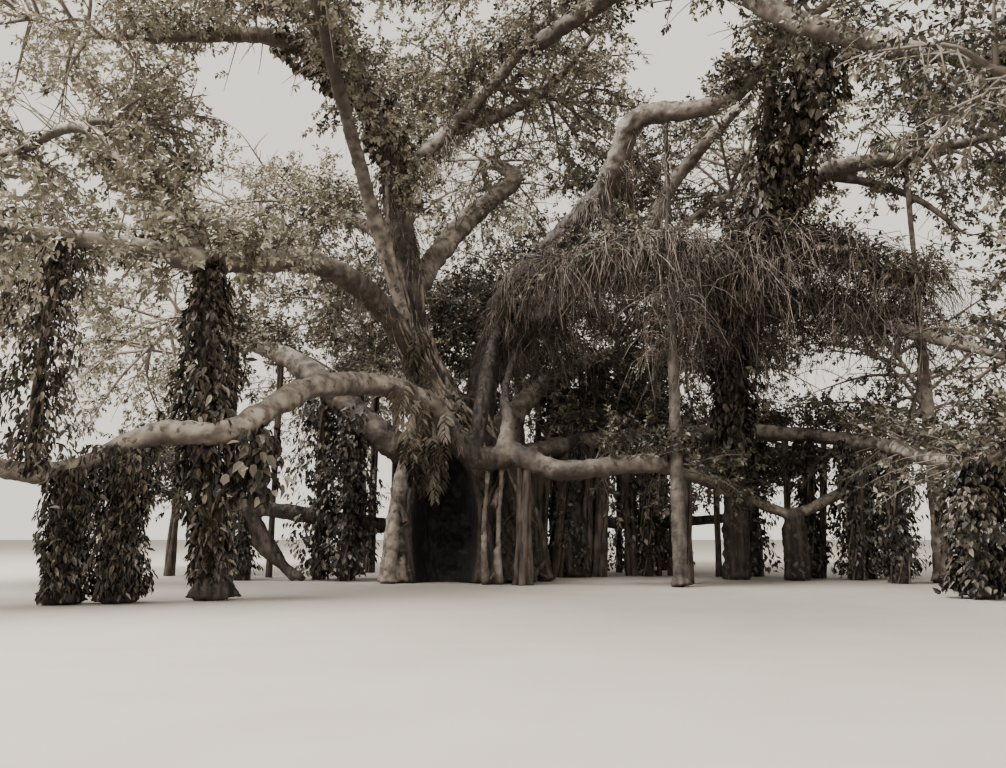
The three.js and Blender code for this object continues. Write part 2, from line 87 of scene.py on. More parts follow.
# Old air roots that have fused into the trunk: flutes round it, whose feet and tops stand
# on rings round its centre, and a pale root at its left front, whose strands part below
FLUTES = 7
FLUTE_FOOT_RING = 1.95
FLUTE_TOP_RING = 1.15
FLUTE_RADII = [0.64, 0.42, 0.33, 0.24]
PALE_ROOT = [(-1.9, -1.35, 0.0), (-1.82, -1.08, 2.3), (-1.35, -0.56, 4.9)]
PALE_STRANDS = 3
PALE_STRAND_RADII = [0.19, 0.14, 0.15, 0.14]
PALE_STRANDS_APART = (0.3, 0.13, 0.08)
LIMBS = {
    "stem_right": (
        [(8.6, 0.9, 0.0), (8.6, 0.5, 4.8), (8.7, 0.0, 8.7), (9.3, -1.0, 11.2), (9.0, -3.99, 14.78)],
        [0.42, 0.33, 0.29, 0.24, 0.15]),
    "bough_top_left": (
        [(-0.3, 0.15, 4.6), (-1.5, 0.0, 7.4), (-2.05, 0.0, 11.5),
         (-2.7, -0.4, 14.7), (-5.1, -1.5, 16.7), (-9.8, -2.9, 16.1)],
        [0.62, 0.50, 0.42, 0.34, 0.26, 0.17]),
    "bough_upper_left": (
        [(-0.7, 0.0, 4.9), (-1.7, -0.65, 7.2), (-2.7, -2.1, 8.4), (-3.8, -4.4, 8.55),
         (-5.2, -8.1, 7.4), (-7.1, -9.5, 7.35), (-9.8, -11.2, 7.2)],
        [0.42, 0.37, 0.32, 0.28, 0.22, 0.16]),
    "bough_low_left": (
        [(0.1, -0.7, 3.3), (-0.5, -1.9, 4.8), (-1.5, -2.9, 5.3), (-3.3, -6.0, 4.9), (-4.6, -8.8, 3.45),
         (-5.7, -9.25, 3.4), (-7.4, -9.5, 2.6), (-8.7, -10.1, 2.7), (-10.9, -11.2, 4.3)],
        [0.33, 0.30, 0.28, 0.25, 0.20, 0.15]),
    "bough_mid_left": (
        [(-0.9, 0.1, 3.3), (-2.6, -0.2, 4.5), (-5.4, 1.5, 6.9), (-9.6, 4.6, 9.0)],
        [0.48, 0.40, 0.32, 0.20]),
    "bough_under_left": (
        [(-1.0, 0.5, 1.5), (-3.7, 0.4, 1.8), (-6.1, 0.1, 2.2), (-9.2, 2.5, 3.0), (-11.8, 5.8, 5.1)],
        [0.26, 0.23, 0.19, 0.13]),
    "bough_right_arch": (
        [(0.3, 0.3, 4.0), (0.9, 0.9, 7.2), (1.4, 0.5, 8.9), (3.3, -0.4, 10.8),
         (4.6, -1.2, 12.2), (5.4, -2.0, 13.9), (7.7, -3.0, 13.9), (9.6, -4.6, 15.4)],
        [0.52, 0.44, 0.40, 0.36, 0.28, 0.18]),
    "bough_right_slant": (
        [(0.9, 0.9, 6.9), (4.0, 2.4, 9.8), (6.7, 2.2, 11.4), (9.2, 2.8, 13.3)],
        [0.33, 0.28, 0.23, 0.15]),
    "bough_low_right": (
        [(0.4, -0.8, 3.3), (1.5, -1.9, 3.65), (2.8, -2.5, 3.15),
         (5.4, -2.6, 3.3), (7.1, -1.7, 2.95), (8.6, 0.7, 2.8)],
        [0.36, 0.30, 0.26, 0.22, 0.19]),
    "bough_low_right_far": (
        [(1.2, 0.9, 3.7), (4.6, 3.0, 4.6), (10.4, 2.7, 4.8), (12.5, -0.5, 4.1),
         (12.1, -5.2, 3.2), (11.8, -7.9, 2.95), (12.7, -10.0, 3.7)],
        [0.33, 0.29, 0.25, 0.20, 0.14]),
    "bough_back_left": (
        [(-0.5, 0.5, 4.0), (-2.0, 3.0, 6.4), (-3.6, 6.4, 7.6), (-5.4, 11.2, 8.1)],
        [0.42, 0.34, 0.28, 0.18]),
    "bough_back": (
        [(0.0, 0.7, 4.0), (0.6, 3.6, 6.8), (1.4, 7.4, 8.4), (2.3, 12.2, 8.9)],
        [0.42, 0.34, 0.28, 0.18]),
    "bough_back_right": (
        [(0.5, 0.6, 3.9), (3.0, 3.6, 6.8), (6.0, 6.6, 8.4), (8.6, 9.6, 8.6)],
        [0.42, 0.34, 0.28, 0.18]),
    "bough_crown": (
        [(-2.2, -0.05, 12.9), (-0.9, 0.4, 14.3), (0.0, 0.9, 15.6), (1.2, 0.6, 16.8), (2.6, 0.0, 18.3)],
        [0.27, 0.24, 0.21, 0.15]),
    "bough_front": (
        [(-1.75, -0.05, 8.4), (-2.5, -0.9, 10.5), (-3.4, -2.3, 13.7),
         (-3.6, -5.0, 15.0), (-3.2, -8.8, 15.4)],
        [0.24, 0.22, 0.19, 0.14]),
    "bough_crown_back": (
        [(-1.8, 0.1, 8.8), (-0.1, 2.0, 12.0), (1.7, 3.5, 14.3), (1.3, 4.5, 15.2), (0.8, 5.9, 16.0)],
        [0.30, 0.26, 0.21, 0.14]),
    "bough_crown_left": (
        [(-2.0, 0.05, 10.5), (-3.6, 1.7, 12.0), (-6.6, 5.0, 13.9)],
        [0.28, 0.23, 0.15]),
    "bough_crown_left_front": (
        [(-2.45, -0.25, 14.2), (-3.4, -2.2, 15.4), (-4.9, -4.6, 16.3)],
        [0.23, 0.19, 0.13]),
    "bough_riser_left": (
        [(-5.4, -8.25, 7.35), (-6.9, -7.8, 9.0), (-8.8, -7.3, 11.0), (-11.2, -5.8, 11.1)],
        [0.20, 0.17, 0.12]),
    "bough_right_level": (
        [(9.0, -0.3, 9.7), (10.4, -0.5, 11.4), (11.3, -1.1, 12.5), (13.8, -2.0, 12.7)],
        [0.30, 0.27, 0.22, 0.17]),
    "bough_right_droop": (
        [(8.7, 0.2, 7.6), (10.8, 0.0, 8.7), (12.4, -1.6, 7.6), (14.2, -4.6, 6.0)],
        [0.27, 0.23, 0.19, 0.13]),
    "bough_overhead_right": (
        [(2.1, 0.2, 17.5), (5.3, -4.0, 17.2), (7.0, -7.2, 14.8), (8.2, -8.5, 13.0), (10.8, -10.8, 10.7)],
        [0.20, 0.22, 0.21, 0.13]),
    "bough_right_loop": (
        [(8.6, 0.65, 2.8), (9.6, 0.3, 2.15), (10.5, 0.4, 2.05),
         (11.4, 0.8, 2.4), (12.4, 1.2, 2.9), (14.6, 2.0, 4.9)],
        [0.16, 0.18, 0.20, 0.12]),
}
# Props: where the foot stands, the bough that rests on it and at what share of the
# bough's length, and the prop's radii from its foot up
PROPS = {
    "prop_1": ((-7.4, -9.35), "bough_low_left", 0.75, [0.42, 0.21, 0.18]),
    "prop_2": ((-6.45, -9.0), "bough_low_left", 0.69, [0.42, 0.21, 0.18]),
    "prop_3": ((-4.8, -8.15), "bough_upper_left", 0.68, [0.48, 0.24, 0.2, 0.18]),
    "prop_4": ((-4.7, -0.1), "bough_under_left", 0.44, [0.26, 0.19, 0.16]),
    "prop_5": ((6.0, -3.32), "bough_right_arch", 0.74, [0.46, 0.22, 0.19, 0.17, 0.16, 0.15]),
    "prop_6": ((10.25, 0.2), "bough_right_loop", 0.26, [0.62, 0.42, 0.3]),
    "prop_7": ((14.0, -1.25), "bough_right_level", 0.96, [0.38, 0.2, 0.17, 0.16, 0.15]),
    "prop_8": ((11.5, -7.8), "bough_low_right_far", 0.89, [0.42, 0.21, 0.18]),
    "prop_9": ((3.5, 2.35), "bough_low_right_far", 0.13, [0.52, 0.33, 0.28]),
    "prop_10": ((2.05, 10.5), "bough_back", 0.88, [0.46, 0.28, 0.23, 0.2]),
    "prop_11": ((-4.5, 9.3), "bough_back_left", 0.85, [0.46, 0.28, 0.23, 0.2]),
}
PROP_BEND = 0.2
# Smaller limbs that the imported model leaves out
SMALL_LIMBS = {
    # A root that ties the low left bough to the one above it
    "tie_root": ([(-7.95, -9.8, 2.6), (-7.9, -9.9, 5.0), (-7.7, -9.9, 7.35)], [0.1, 0.08, 0.08]),
    # The fork across the trunk's front, with a dark and a pale root that rise from it
    "fork_front": (
        [(1.5, -1.95, 3.62), (0.75, -2.25, 3.45), (0.1, -2.35, 3.9),
         (-0.5, -2.2, 4.75), (-1.2, -2.6, 5.2)],
        [0.3, 0.33, 0.34, 0.31, 0.29]),
    "riser_dark": (
        [(0.45, -2.05, 3.5), (0.7, -1.6, 5.2), (0.95, -0.5, 7.0), (1.2, 0.7, 8.2)],
        [0.28, 0.22, 0.2, 0.2]),
    "riser_pale": (
        [(1.25, -2.1, 3.6), (1.45, -1.9, 4.4), (1.35, -1.2, 5.5), (1.9, 1.4, 7.9)],
        [0.26, 0.15, 0.12, 0.12]),
    # A ridge beside the slanting root, and a level limb low among the right side's columns
    "slant_ridge": ([(-5.0, 0.0, 0.0), (-5.75, 0.1, 1.0), (-6.6, 0.2, 2.2)], [0.14, 0.2, 0.2]),
    "level_low": ([(3.2, 3.4, 1.9), (6.2, 3.8, 1.75), (9.6, 4.2, 2.0)], [0.16, 0.2, 0.16]),
    # Two strands beside the leader, and the root that carries the tuft of big leaves
    "strand_high": ([(-1.8, -0.9, 7.9), (-2.6, -1.0, 10.2), (-3.2, -0.9, 12.4)], [0.1, 0.08, 0.08]),
    "strand_side": ([(-1.6, -0.8, 7.9), (-2.2, -0.9, 10.2), (-2.4, -0.8, 12.6)], [0.08, 0.07, 0.07]),
    "tuft_root": ([(-4.05, -8.2, 3.6), (-4.0, -8.1, 2.9), (-4.05, -8.0, 2.1)], [0.09, 0.08, 0.08]),
    # A second pale slanting limb, the end and the side limb of the right level bough, a
    # second branch in the crown and a leaning stem that climbers clothe
    "slant_high": (
        [(6.2, 2.2, 11.0), (6.9, 1.5, 12.9), (8.1, 1.0, 14.4), (9.6, 0.0, 15.8)],
        [0.26, 0.25, 0.22, 0.12]),
    "level_end": ([(13.5, -1.9, 12.7), (15.2, -2.6, 12.9), (16.8, -3.0, 13.2)], [0.2, 0.16, 0.08]),
    "level_side": (
        [(11.6, -1.0, 12.5), (13.05, -1.2, 12.1), (14.1, -1.6, 11.4), (14.9, -2.6, 9.9)],
        [0.16, 0.13, 0.11, 0.05]),
    "crown_branch": (
        [(-0.6, 0.7, 14.8), (0.9, 1.9, 15.9), (2.9, 2.2, 17.2), (4.6, 1.5, 18.9)],
        [0.2, 0.2, 0.17, 0.08]),
    "stem_lean": (
        [(9.15, -0.6, 10.5), (9.75, -2.0, 12.3), (10.0, -3.5, 13.4), (10.1, -5.2, 14.4)],
        [0.22, 0.18, 0.15, 0.08]),
    # Two thin roots in the trunk's hollow
    "hollow_rib": ([(-0.75, -1.35, 0.0), (-0.7, -1.2, 1.6), (-0.8, -1.1, 3.2)], [0.16, 0.1, 0.12]),
    "hollow_root": ([(-0.1, -1.55, 0.0), (-0.15, -1.35, 1.6), (-0.1, -1.3, 3.2)], [0.12, 0.09, 0.12]),
}
# Standing roots that climbing plants hide: the share of the bough's length above them,
# the leaves' reach from them and the number of leaves
CLUMP_RADII = [0.24, 0.16, 0.13]
CLUMPS = {
    "bough_right_loop": [(0.68, 1.0, 2200), (0.9, 1.0, 1600)],
    "bough_mid_left": [(0.28, 1.1, 2600), (0.4, 1.2, 2200)],
    "bough_under_left": [(0.42, 0.5, 700)],
    "bough_low_right_far": [
        (0.13, 0.8, 1300), (0.24, 0.8, 1300), (0.39, 0.8, 1500), (0.47, 0.8, 1500),
        (0.54, 0.8, 1200), (0.63, 0.6, 900)],
    "bough_back_right": [(0.38, 1.0, 2000), (0.55, 1.1, 2000), (0.72, 1.2, 2200), (0.9, 1.2, 2000)],
    "bough_back": [(0.42, 1.0, 1500)],
}
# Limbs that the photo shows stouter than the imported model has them, props whose upper
# part is no more than a hanging root, and the share of the model's radius at the feet
STOUTER = {"bough_crown_back": 1.4, "bough_right_level": 1.25, "bough_overhead_right": 1.35}
THIN_TOPS = {"prop_5": [0.23, 0.18, 0.165, 0.13, 0.09, 0.08], "prop_7": [0.3, 0.2, 0.16, 0.09, 0.08]}
FOOT_SHARE = 0.8
SLIM_FOOT_SHARE = 0.55
SLIM_PROPS = ("prop_4", "prop_6")
# Columns that stand close round the trunk and have half fused with it, and a thin pair
# of pale roots before it
FUSED_COLUMNS = 26
COLUMN_HEIGHTS = (2.6, 5.0)
COLUMN_FOOT_RINGS = (1.95, 2.45)
COLUMN_TOP_RING = 1.35
COLUMN_GIRTHS = [0.1, 0.14, 0.19]
THIN_PAIR = [(0.8, -2.25), (1.2, -2.15)]
THIN_PAIR_RADII = [0.11, 0.08, 0.08]
TOES = 6
THINNEST_TOE = 0.06
# The trunk's front between these bearings is a deep hollow with no flutes; its dark is painted shade
HOLLOW_BEARINGS = (math.radians(-130), math.radians(-78))


def spaced(points, count):
    """The same path with its points spaced evenly along it."""
    run = np.concatenate([[0], np.cumsum(np.linalg.norm(np.diff(points, axis=0), axis=1))])
    wanted = np.linspace(0, run[-1], count)
    return np.stack([np.interp(wanted, run, points[:, axis]) for axis in range(3)], axis=1)


def smooth_route(waypoints, count):
    """A centripetal curve through a limb's waypoints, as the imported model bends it."""
    knots = np.asarray(waypoints, float)
    knots = np.vstack([2 * knots[0] - knots[1], knots, 2 * knots[-1] - knots[-2]])
    pieces = []
    for a, b, c, d in zip(knots, knots[1:], knots[2:], knots[3:]):
        at_b = math.sqrt(np.linalg.norm(b - a))
        at_c = at_b + math.sqrt(np.linalg.norm(c - b))
        at_d = at_c + math.sqrt(np.linalg.norm(d - c))
        t = np.linspace(at_b, at_c, 20, endpoint=False)[:, None]
        ab = ((at_b - t) * a + t * b) / at_b
        bc = ((at_c - t) * b + (t - at_b) * c) / (at_c - at_b)
        cd = ((at_d - t) * c + (t - at_c) * d) / (at_d - at_c)
        abc = ((at_c - t) * ab + t * bc) / at_c
        bcd = ((at_d - t) * bc + (t - at_b) * cd) / (at_d - at_b)
        pieces.append(((at_c - t) * abc + (t - at_b) * bcd) / (at_c - at_b))
    pieces.append(knots[-2:-1])
    return spaced(np.vstack(pieces), count)


def tapered_at(radii, shares):
    """A limb's radius at given shares of its length, from its few evenly spaced ones."""
    return np.interp(shares, np.linspace(0, 1, len(radii)), radii)


def tapered(radii, count):
    """A limb's radius at a number of evenly spaced points."""
    return tapered_at(radii, np.linspace(0, 1, count))


def point_on(bough, share):
    """The point of a bough's middle line at a share of its length."""
    return smooth_route(LIMBS[bough][0], 101)[round(share * 100)]


def number_stream(seed):
    """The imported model's own stream of repeatable numbers from 0 to 1."""
    factor, step, size = 1664525, 1013904223, 2**32
    state = seed
    while True:
        state = (state * factor + step) % size
        yield state / size


def in_hollow(bearing):
    """Whether a bearing from the trunk's centre points into the hollow at its front."""
    bearing = (bearing + math.pi) % (2 * math.pi) - math.pi
    return HOLLOW_BEARINGS[0] < bearing < HOLLOW_BEARINGS[1]


def trunk_limbs():
    """The core and the flutes round it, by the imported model's own rule."""
    limbs = {"core": TRUNK_CORE}
    stream = number_stream(11)
    for i in range(FLUTES):
        angle = (i + 0.35 * next(stream)) / FLUTES * 2 * math.pi
        height = TRUNK_HEIGHT * (0.62 + 0.25 * next(stream))
        around = np.array([math.cos(angle), math.sin(angle)])
        turned = np.array([math.cos(angle + 0.2), math.sin(angle + 0.2)])
        foot = np.append(TRUNK_CENTRE + FLUTE_FOOT_RING * around, 0.0)
        top = np.append(TRUNK_CENTRE + FLUTE_TOP_RING * turned - (TRUNK_LEAN * height, 0), height)
        if not in_hollow(angle):
            limbs[f"flute_{i}"] = ([foot, foot * 0.42 + top * 0.58, top], FLUTE_RADII)
    return limbs


def prop_limb(foot, bough, share, radii):
    """A prop bends easily from its foot up into the belly of its bough."""
    top = point_on(bough, share)
    foot = np.append(foot, 0.0)
    middle = (foot + top) / 2 + (top - foot) * (PROP_BEND, PROP_BEND, 0)
    return [foot, middle, top], radii


def add_toes(name, random):
    """Short roots that spread round a limb's foot and sink into the ground."""
    foot, radius = np.array(limbs[name][0][0], float), limbs[name][1][0]
    for i in range(TOES):
        angle = (i + 0.7 * random.random()) / TOES * 2 * math.pi
        around = np.array([math.cos(angle), math.sin(angle), 0.0])
        upward = np.array([0, 0, radius])
        route = [foot + around * radius * 0.4 + upward * random.uniform(2.2, 3.4),
                 foot + around * radius * 0.75 + upward * 0.9,
                 foot + around * radius * random.uniform(1.15, 1.6)]
        limbs[f"{name}_toe{i}"] = (route, [radius * 0.3, radius * 0.3, max(radius * 0.12, THINNEST_TOE)])


limbs = trunk_limbs()
limbs.update(LIMBS)
chance = np.random.default_rng(7)
for name, prop in PROPS.items():
    route, radii = prop_limb(*prop)
    foot_share = SLIM_FOOT_SHARE if name in SLIM_PROPS else FOOT_SHARE
    limbs[name] = route, THIN_TOPS.get(name) or [radii[0] * foot_share, *radii[1:]]
    # The slanting root runs into the ground at a low angle, without toes
    if name != "prop_4":
        add_toes(name, chance)
for i in range(PALE_STRANDS):
    turn = i * 2.1 + 0.4
    apart = np.array([math.cos(turn), math.sin(turn), 0.0])
    route = [np.array(point) + apart * share for point, share in zip(PALE_ROOT, PALE_STRANDS_APART)]
    limbs[f"pale_root_{i}"] = (route, PALE_STRAND_RADII)
    add_toes(f"pale_root_{i}", chance)
limbs.update(SMALL_LIMBS)
for name, growth in STOUTER.items():
    route, radii = LIMBS[name]
    limbs[name] = route, [radius * growth for radius in radii]
for bough, clumps in CLUMPS.items():
    for number, (share, _, _) in enumerate(clumps):
        top = point_on(bough, share)
        limbs[f"clump_{bough}_{number}"] = ([top * (1, 1, 0), top * (1, 1, 0.5), top], CLUMP_RADII)
for i in range(FUSED_COLUMNS):
    angle = -math.pi + (i + 0.8 * chance.random()) / FUSED_COLUMNS * 2 * math.pi
    height = chance.uniform(*COLUMN_HEIGHTS)
    if not in_hollow(angle):
        around = np.array([math.cos(angle), math.sin(angle)])
        foot = np.append(TRUNK_CENTRE + chance.uniform(*COLUMN_FOOT_RINGS) * around, 0.0)
        top = np.append(TRUNK_CENTRE + COLUMN_TOP_RING * around - (TRUNK_LEAN * height, 0), height)
        middle = foot * 0.5 + top * 0.5 + np.append(0.25 * around, 0)
        girth = chance.choice(COLUMN_GIRTHS)
        limbs[f"column_{i}"] = ([foot, middle, top], [girth * 1.4, girth, girth, girth * 0.8])
        add_toes(f"column_{i}", chance)
for i, (east, south) in enumerate(THIN_PAIR):
    route = [(east, south, 0), (east - 0.02, south + 0.1, 1.7), (east + 0.1, -1.75, 3.5)]
    limbs[f"pair_{i}"] = (route, THIN_PAIR_RADII)


class Growth:
    """A geometry node tree with named inputs, built one node at a time."""

    def __init__(self, name, **inputs):
        self.tree = bpy.data.node_groups.new(name, "GeometryNodeTree")
        face = self.tree.interface
        face.new_socket("Geometry", in_out="INPUT", socket_type="NodeSocketGeometry")
        for label, kind in inputs.items():
            face.new_socket(label, in_out="INPUT", socket_type="NodeSocket" + kind)
        face.new_socket("Geometry", in_out="OUTPUT", socket_type="NodeSocketGeometry")
        self.given = self.tree.nodes.new("NodeGroupInput").outputs
        self.last = self.tree.nodes.new("NodeGroupOutput").inputs["Geometry"]

    def node(self, kind, settings=None, sockets=None, result=0):
        """Adds one node, with its settings and what goes into it, and gives its result."""
        made = self.tree.nodes.new(kind)
        for field, value in (settings or {}).items():
            setattr(made, field, value)
        for label, value in (sockets or {}).items():
            slot = made.inputs[label]
            if isinstance(value, bpy.types.NodeSocket):
                self.tree.links.new(value, slot)
            else:
                slot.default_value = value
        return made.outputs[result]

    def lift(self, geometry):
        """Raises the points that lie under the ground up to its level."""
        height = self.node(
            "ShaderNodeSeparateXYZ", None, {"Vector": self.node("GeometryNodeInputPosition")}, "Z")
        level = self.node("ShaderNodeMath", {"operation": "MAXIMUM"}, {0: height, 1: 0.0})
        rise = self.node("ShaderNodeMath", {"operation": "SUBTRACT"}, {0: level, 1: height})
        upward = self.node("ShaderNodeCombineXYZ", sockets={"Z": rise})
        return self.node("GeometryNodeSetPosition", sockets={"Geometry": geometry, "Offset": upward})

    def close(self, geometry):
        """Makes this geometry what the whole tree gives."""
        self.tree.links.new(geometry, self.last)

    def grow(self, piece, **values):
        """Runs the tree on a piece and leaves its result as the piece's plain mesh."""
        modifier = piece.modifiers.new("growth", "NODES")
        modifier.node_group = self.tree
        for socket in self.tree.interface.items_tree:
            if socket.in_out == "INPUT" and socket.name in values:
                modifier[socket.identifier] = values[socket.name]
        settle(piece)


def settle(piece):
    """Makes what a piece's modifiers give its plain mesh, and removes them."""
    seen = piece.evaluated_get(bpy.context.evaluated_depsgraph_get())
    plain = bpy.data.meshes.new_from_object(seen)
    piece.modifiers.clear()
    piece.data = plain
    piece.data.name = piece.name


def stand(name, mesh):
    """A new piece with the given mesh."""
    piece = bpy.data.objects.new(name, mesh)
    bpy.context.scene.collection.objects.link(piece)
    return piece


def path_bundle(name, bundles):
    """Open paths as loose edges. Each bundle is routes (paths, points, 3) and radii."""
    points = np.concatenate([routes.reshape(-1, 3) for routes, _ in bundles])
    radii = np.concatenate([np.broadcast_to(width, routes.shape[:2]).ravel() for routes, width in bundles])
    edges = []
    first = 0
    for routes, _ in bundles:
        count, length = routes.shape[:2]
        numbers = first + np.arange(count * length).reshape(count, length)
        edges.append(np.stack([numbers[:, :-1], numbers[:, 1:]], axis=-1).reshape(-1, 2))
        first += count * length
    edges = np.concatenate(edges)
    mesh = bpy.data.meshes.new(name)
    mesh.vertices.add(len(points))
    mesh.vertices.foreach_set("co", points.ravel())
    mesh.edges.add(len(edges))
    mesh.edges.foreach_set("vertices", edges.ravel())
    mesh.attributes.new("thickness", "FLOAT", "POINT").data.foreach_set("value", radii)
    mesh.update()
    return stand(name, mesh)


tubes = Growth("tubes", Sides="Int", Ends="Bool", Finish="Material")
tube_paths = tubes.node("GeometryNodeMeshToCurve", sockets={"Mesh": tubes.given["Geometry"]})
tube_radius = tubes.node("GeometryNodeInputNamedAttribute", {"data_type": "FLOAT"}, {"Name": "thickness"})
tube_ring = tubes.node(
    "GeometryNodeCurvePrimitiveCircle", sockets={"Resolution": tubes.given["Sides"], "Radius": 1.0})
tube_skin = tubes.node("GeometryNodeCurveToMesh", sockets={
    "Curve": tube_paths, "Profile Curve": tube_ring, "Scale": tube_radius,
    "Fill Caps": tubes.given["Ends"]})
tube_smooth = tubes.node("GeometryNodeSetShadeSmooth", sockets={"Geometry": tubes.lift(tube_skin)})
tube_whole = tubes.node("GeometryNodeRealizeInstances", sockets={"Geometry": tube_smooth})
tubes.close(tubes.node(
    "GeometryNodeSetMaterial", sockets={"Geometry": tube_whole, "Material": tubes.given["Finish"]}))


class Value:
    """A shader value that can be written into plain sums."""

    def __init__(self, finish, socket):
        self.finish = finish
        self.socket = socket

    def sum(self, operation, *terms):
        """A node for one step of a sum."""
        return self.finish.node("ShaderNodeMath", {"operation": operation}, dict(enumerate(terms)))

    def __add__(self, other):
        return self.sum("ADD", self, other)

    def __sub__(self, other):
        return self.sum("SUBTRACT", self, other)

    def __rsub__(self, other):
        return self.sum("SUBTRACT", other, self)

    def __mul__(self, other):
        return self.sum("MULTIPLY", self, other)

    __radd__ = __add__
    __rmul__ = __mul__


class Finish:
    """A material made node by node, around one Principled surface."""

    def __init__(self, name):
        self.material = bpy.data.materials.new(name)
        self.material.use_nodes = True
        self.tree = self.material.node_tree
        self.surface = self.tree.nodes["Principled BSDF"]

    def fill(self, slot, value):
        """Puts a value, a colour or another node's result into an input."""
        if isinstance(value, Value):
            self.tree.links.new(value.socket, slot)
        elif slot.type == "RGBA":
            slot.default_value = (*value, 1.0)
        else:
            slot.default_value = value

    def node(self, kind, settings=None, sockets=None, result=0):
        """Adds one node, with its settings and what goes into it, and gives its result."""
        made = self.tree.nodes.new(kind)
        for field, value in (settings or {}).items():
            if field == "stops":
                for stop, (place, shade) in zip(made.color_ramp.elements, value):
                    stop.position = place
                    stop.color = (shade, shade, shade, 1.0)
            else:
                setattr(made, field, value)
        for label, value in (sockets or {}).items():
            self.fill(made.inputs[label], value)
        return Value(self, made.outputs[result])

    def place(self):
        """The place on the tree, in metres."""
        return self.node("ShaderNodeTexCoord", result="Object")

    def upright(self):
        """The place with heights squeezed, for patterns that run up and down."""
        squeezed = {0: self.place(), 1: (1, 1, 0.1)}
        return self.node("ShaderNodeVectorMath", {"operation": "MULTIPLY"}, squeezed)

    def mottle(self, size, detail=4.0, place=None):
        """A cloudy pattern with patches about as wide as its size in metres."""
        sockets = {"Vector": place or self.place(), "Scale": 1 / size, "Detail": detail}
        return self.node("ShaderNodeTexNoise", None, sockets)

    def ramp(self, value, low, high):
        """Turns a value into a step from 0 at low to 1 at high."""
        stops = {"stops": [(low, 0.0), (high, 1.0)]}
        return self.node("ShaderNodeValToRGB", stops, {"Fac": value})

    def blend(self, share, first, second):
        """The first colour at 0, the second at 1, and a mix between."""
        sockets = {0: share, 6: first, 7: second}
        return self.node("ShaderNodeMix", {"data_type": "RGBA"}, sockets, result=2)

    def wear(self, **sockets):
        """Gives the surface these values and returns the finished material."""
        for label, value in sockets.items():
            self.fill(self.surface.inputs[label.replace("_", " ")], value)
        return self.material

    def relief(self, height, strength, distance):
        """Shades the surface as if it rose and fell with a pattern's height."""
        return self.node("ShaderNodeBump", None, {
            "Height": height, "Strength": strength, "Distance": distance})


# How dark the bark is along each limb, from its foot to its tip, 0 pale and 1 dark, and
# for limbs that are not named, by the first word of their name. On the trunk's core and
# flutes and on the hollow's roots the dark is partly painted shade, of the crown above and
# of the hollow; values above 1.2 are painted towards black.
BARK_SHADES = {
    "core": (1.15, 0.9), "stem_right": (0.9, 0.5), "bough_top_left": (0.9, 0.5, 0.3),
    "bough_upper_left": (0.9, 0.5, 0.35, 0.4), "bough_low_left": (0.6, 0.2, 0.1),
    "bough_mid_left": (0.8, 0.45, 0.1), "bough_under_left": (0.95, 0.85),
    "bough_right_arch": (1.0, 1.0, 0.85, 0.5, 0.2, 0.15), "bough_right_slant": (1.0, 0.5, 0.1),
    "bough_low_right": (0.5, 0.6, 0.35, 0.4), "bough_low_right_far": (0.7, 0.3, 0.2),
    "bough_right_loop": (0.3, 0.4), "bough_right_level": (0.35, 0.1), "bough_right_droop": (0.5, 0.2),
    "bough_front": (0.3, 0.5, 0.7), "fork_front": (0.6, 0.8, 0.45), "riser_dark": (0.95, 1.0),
    "riser_pale": (0.4, 0.9, 1.0), "slant_high": (0.3, 0.1), "level_side": (0.3, 0.2),
    "level_end": (0.15, 0.1), "prop_4": (0.8, 0.7), "prop_5": (0.6, 0.55, 0.8, 1.0),
    "prop_6": (0.95, 0.75), "prop_7": (0.4, 0.4, 0.5, 0.4),
}
KIND_SHADES = {
    "flute": (1.0, 0.8), "column": (0.9, 0.9), "pale": (0.1, 0.3), "pair": (0.35, 0.5),
    "bough": (0.45, 0.3), "prop": (0.95, 0.8), "tie": (0.8, 0.8), "clump": (0.9, 0.9),
    "slant": (0.7, 0.8), "level": (0.9, 0.9), "strand": (0.2, 0.3), "tuft": (0.9, 0.9),
    "crown": (0.3, 0.2), "stem": (0.9, 0.5), "hollow": (1.3, 1.2),
}


def bark_shades(name):
    """A limb's own shades, or else those of its kind or of the limb whose toe it is."""
    if "_toe" in name:
        shade = bark_shades(name.split("_toe")[0])[0]
        return shade, shade
    return BARK_SHADES.get(name) or KIND_SHADES[name.split("_")[0]]


PALE_BARK = (0.38, 0.335, 0.285)
STAINED_BARK = (0.125, 0.10, 0.083)
STREAKED_BARK = (0.07, 0.054, 0.045)
# The dark bark's near-black base, partly painted shade for the trunk under the crown
DARK_SHADED_BARK = (0.006, 0.004, 0.0035)
BARK_MARKS = (0.085, 0.067, 0.056)
# Colour of the painted shade on the limbs' undersides
UNDERSIDE_SHADE = (0.04, 0.03, 0.026)
# Near black of the painted shade in the hollow
HOLLOW_SHADOW_BLACK = (0.004, 0.003, 0.003)


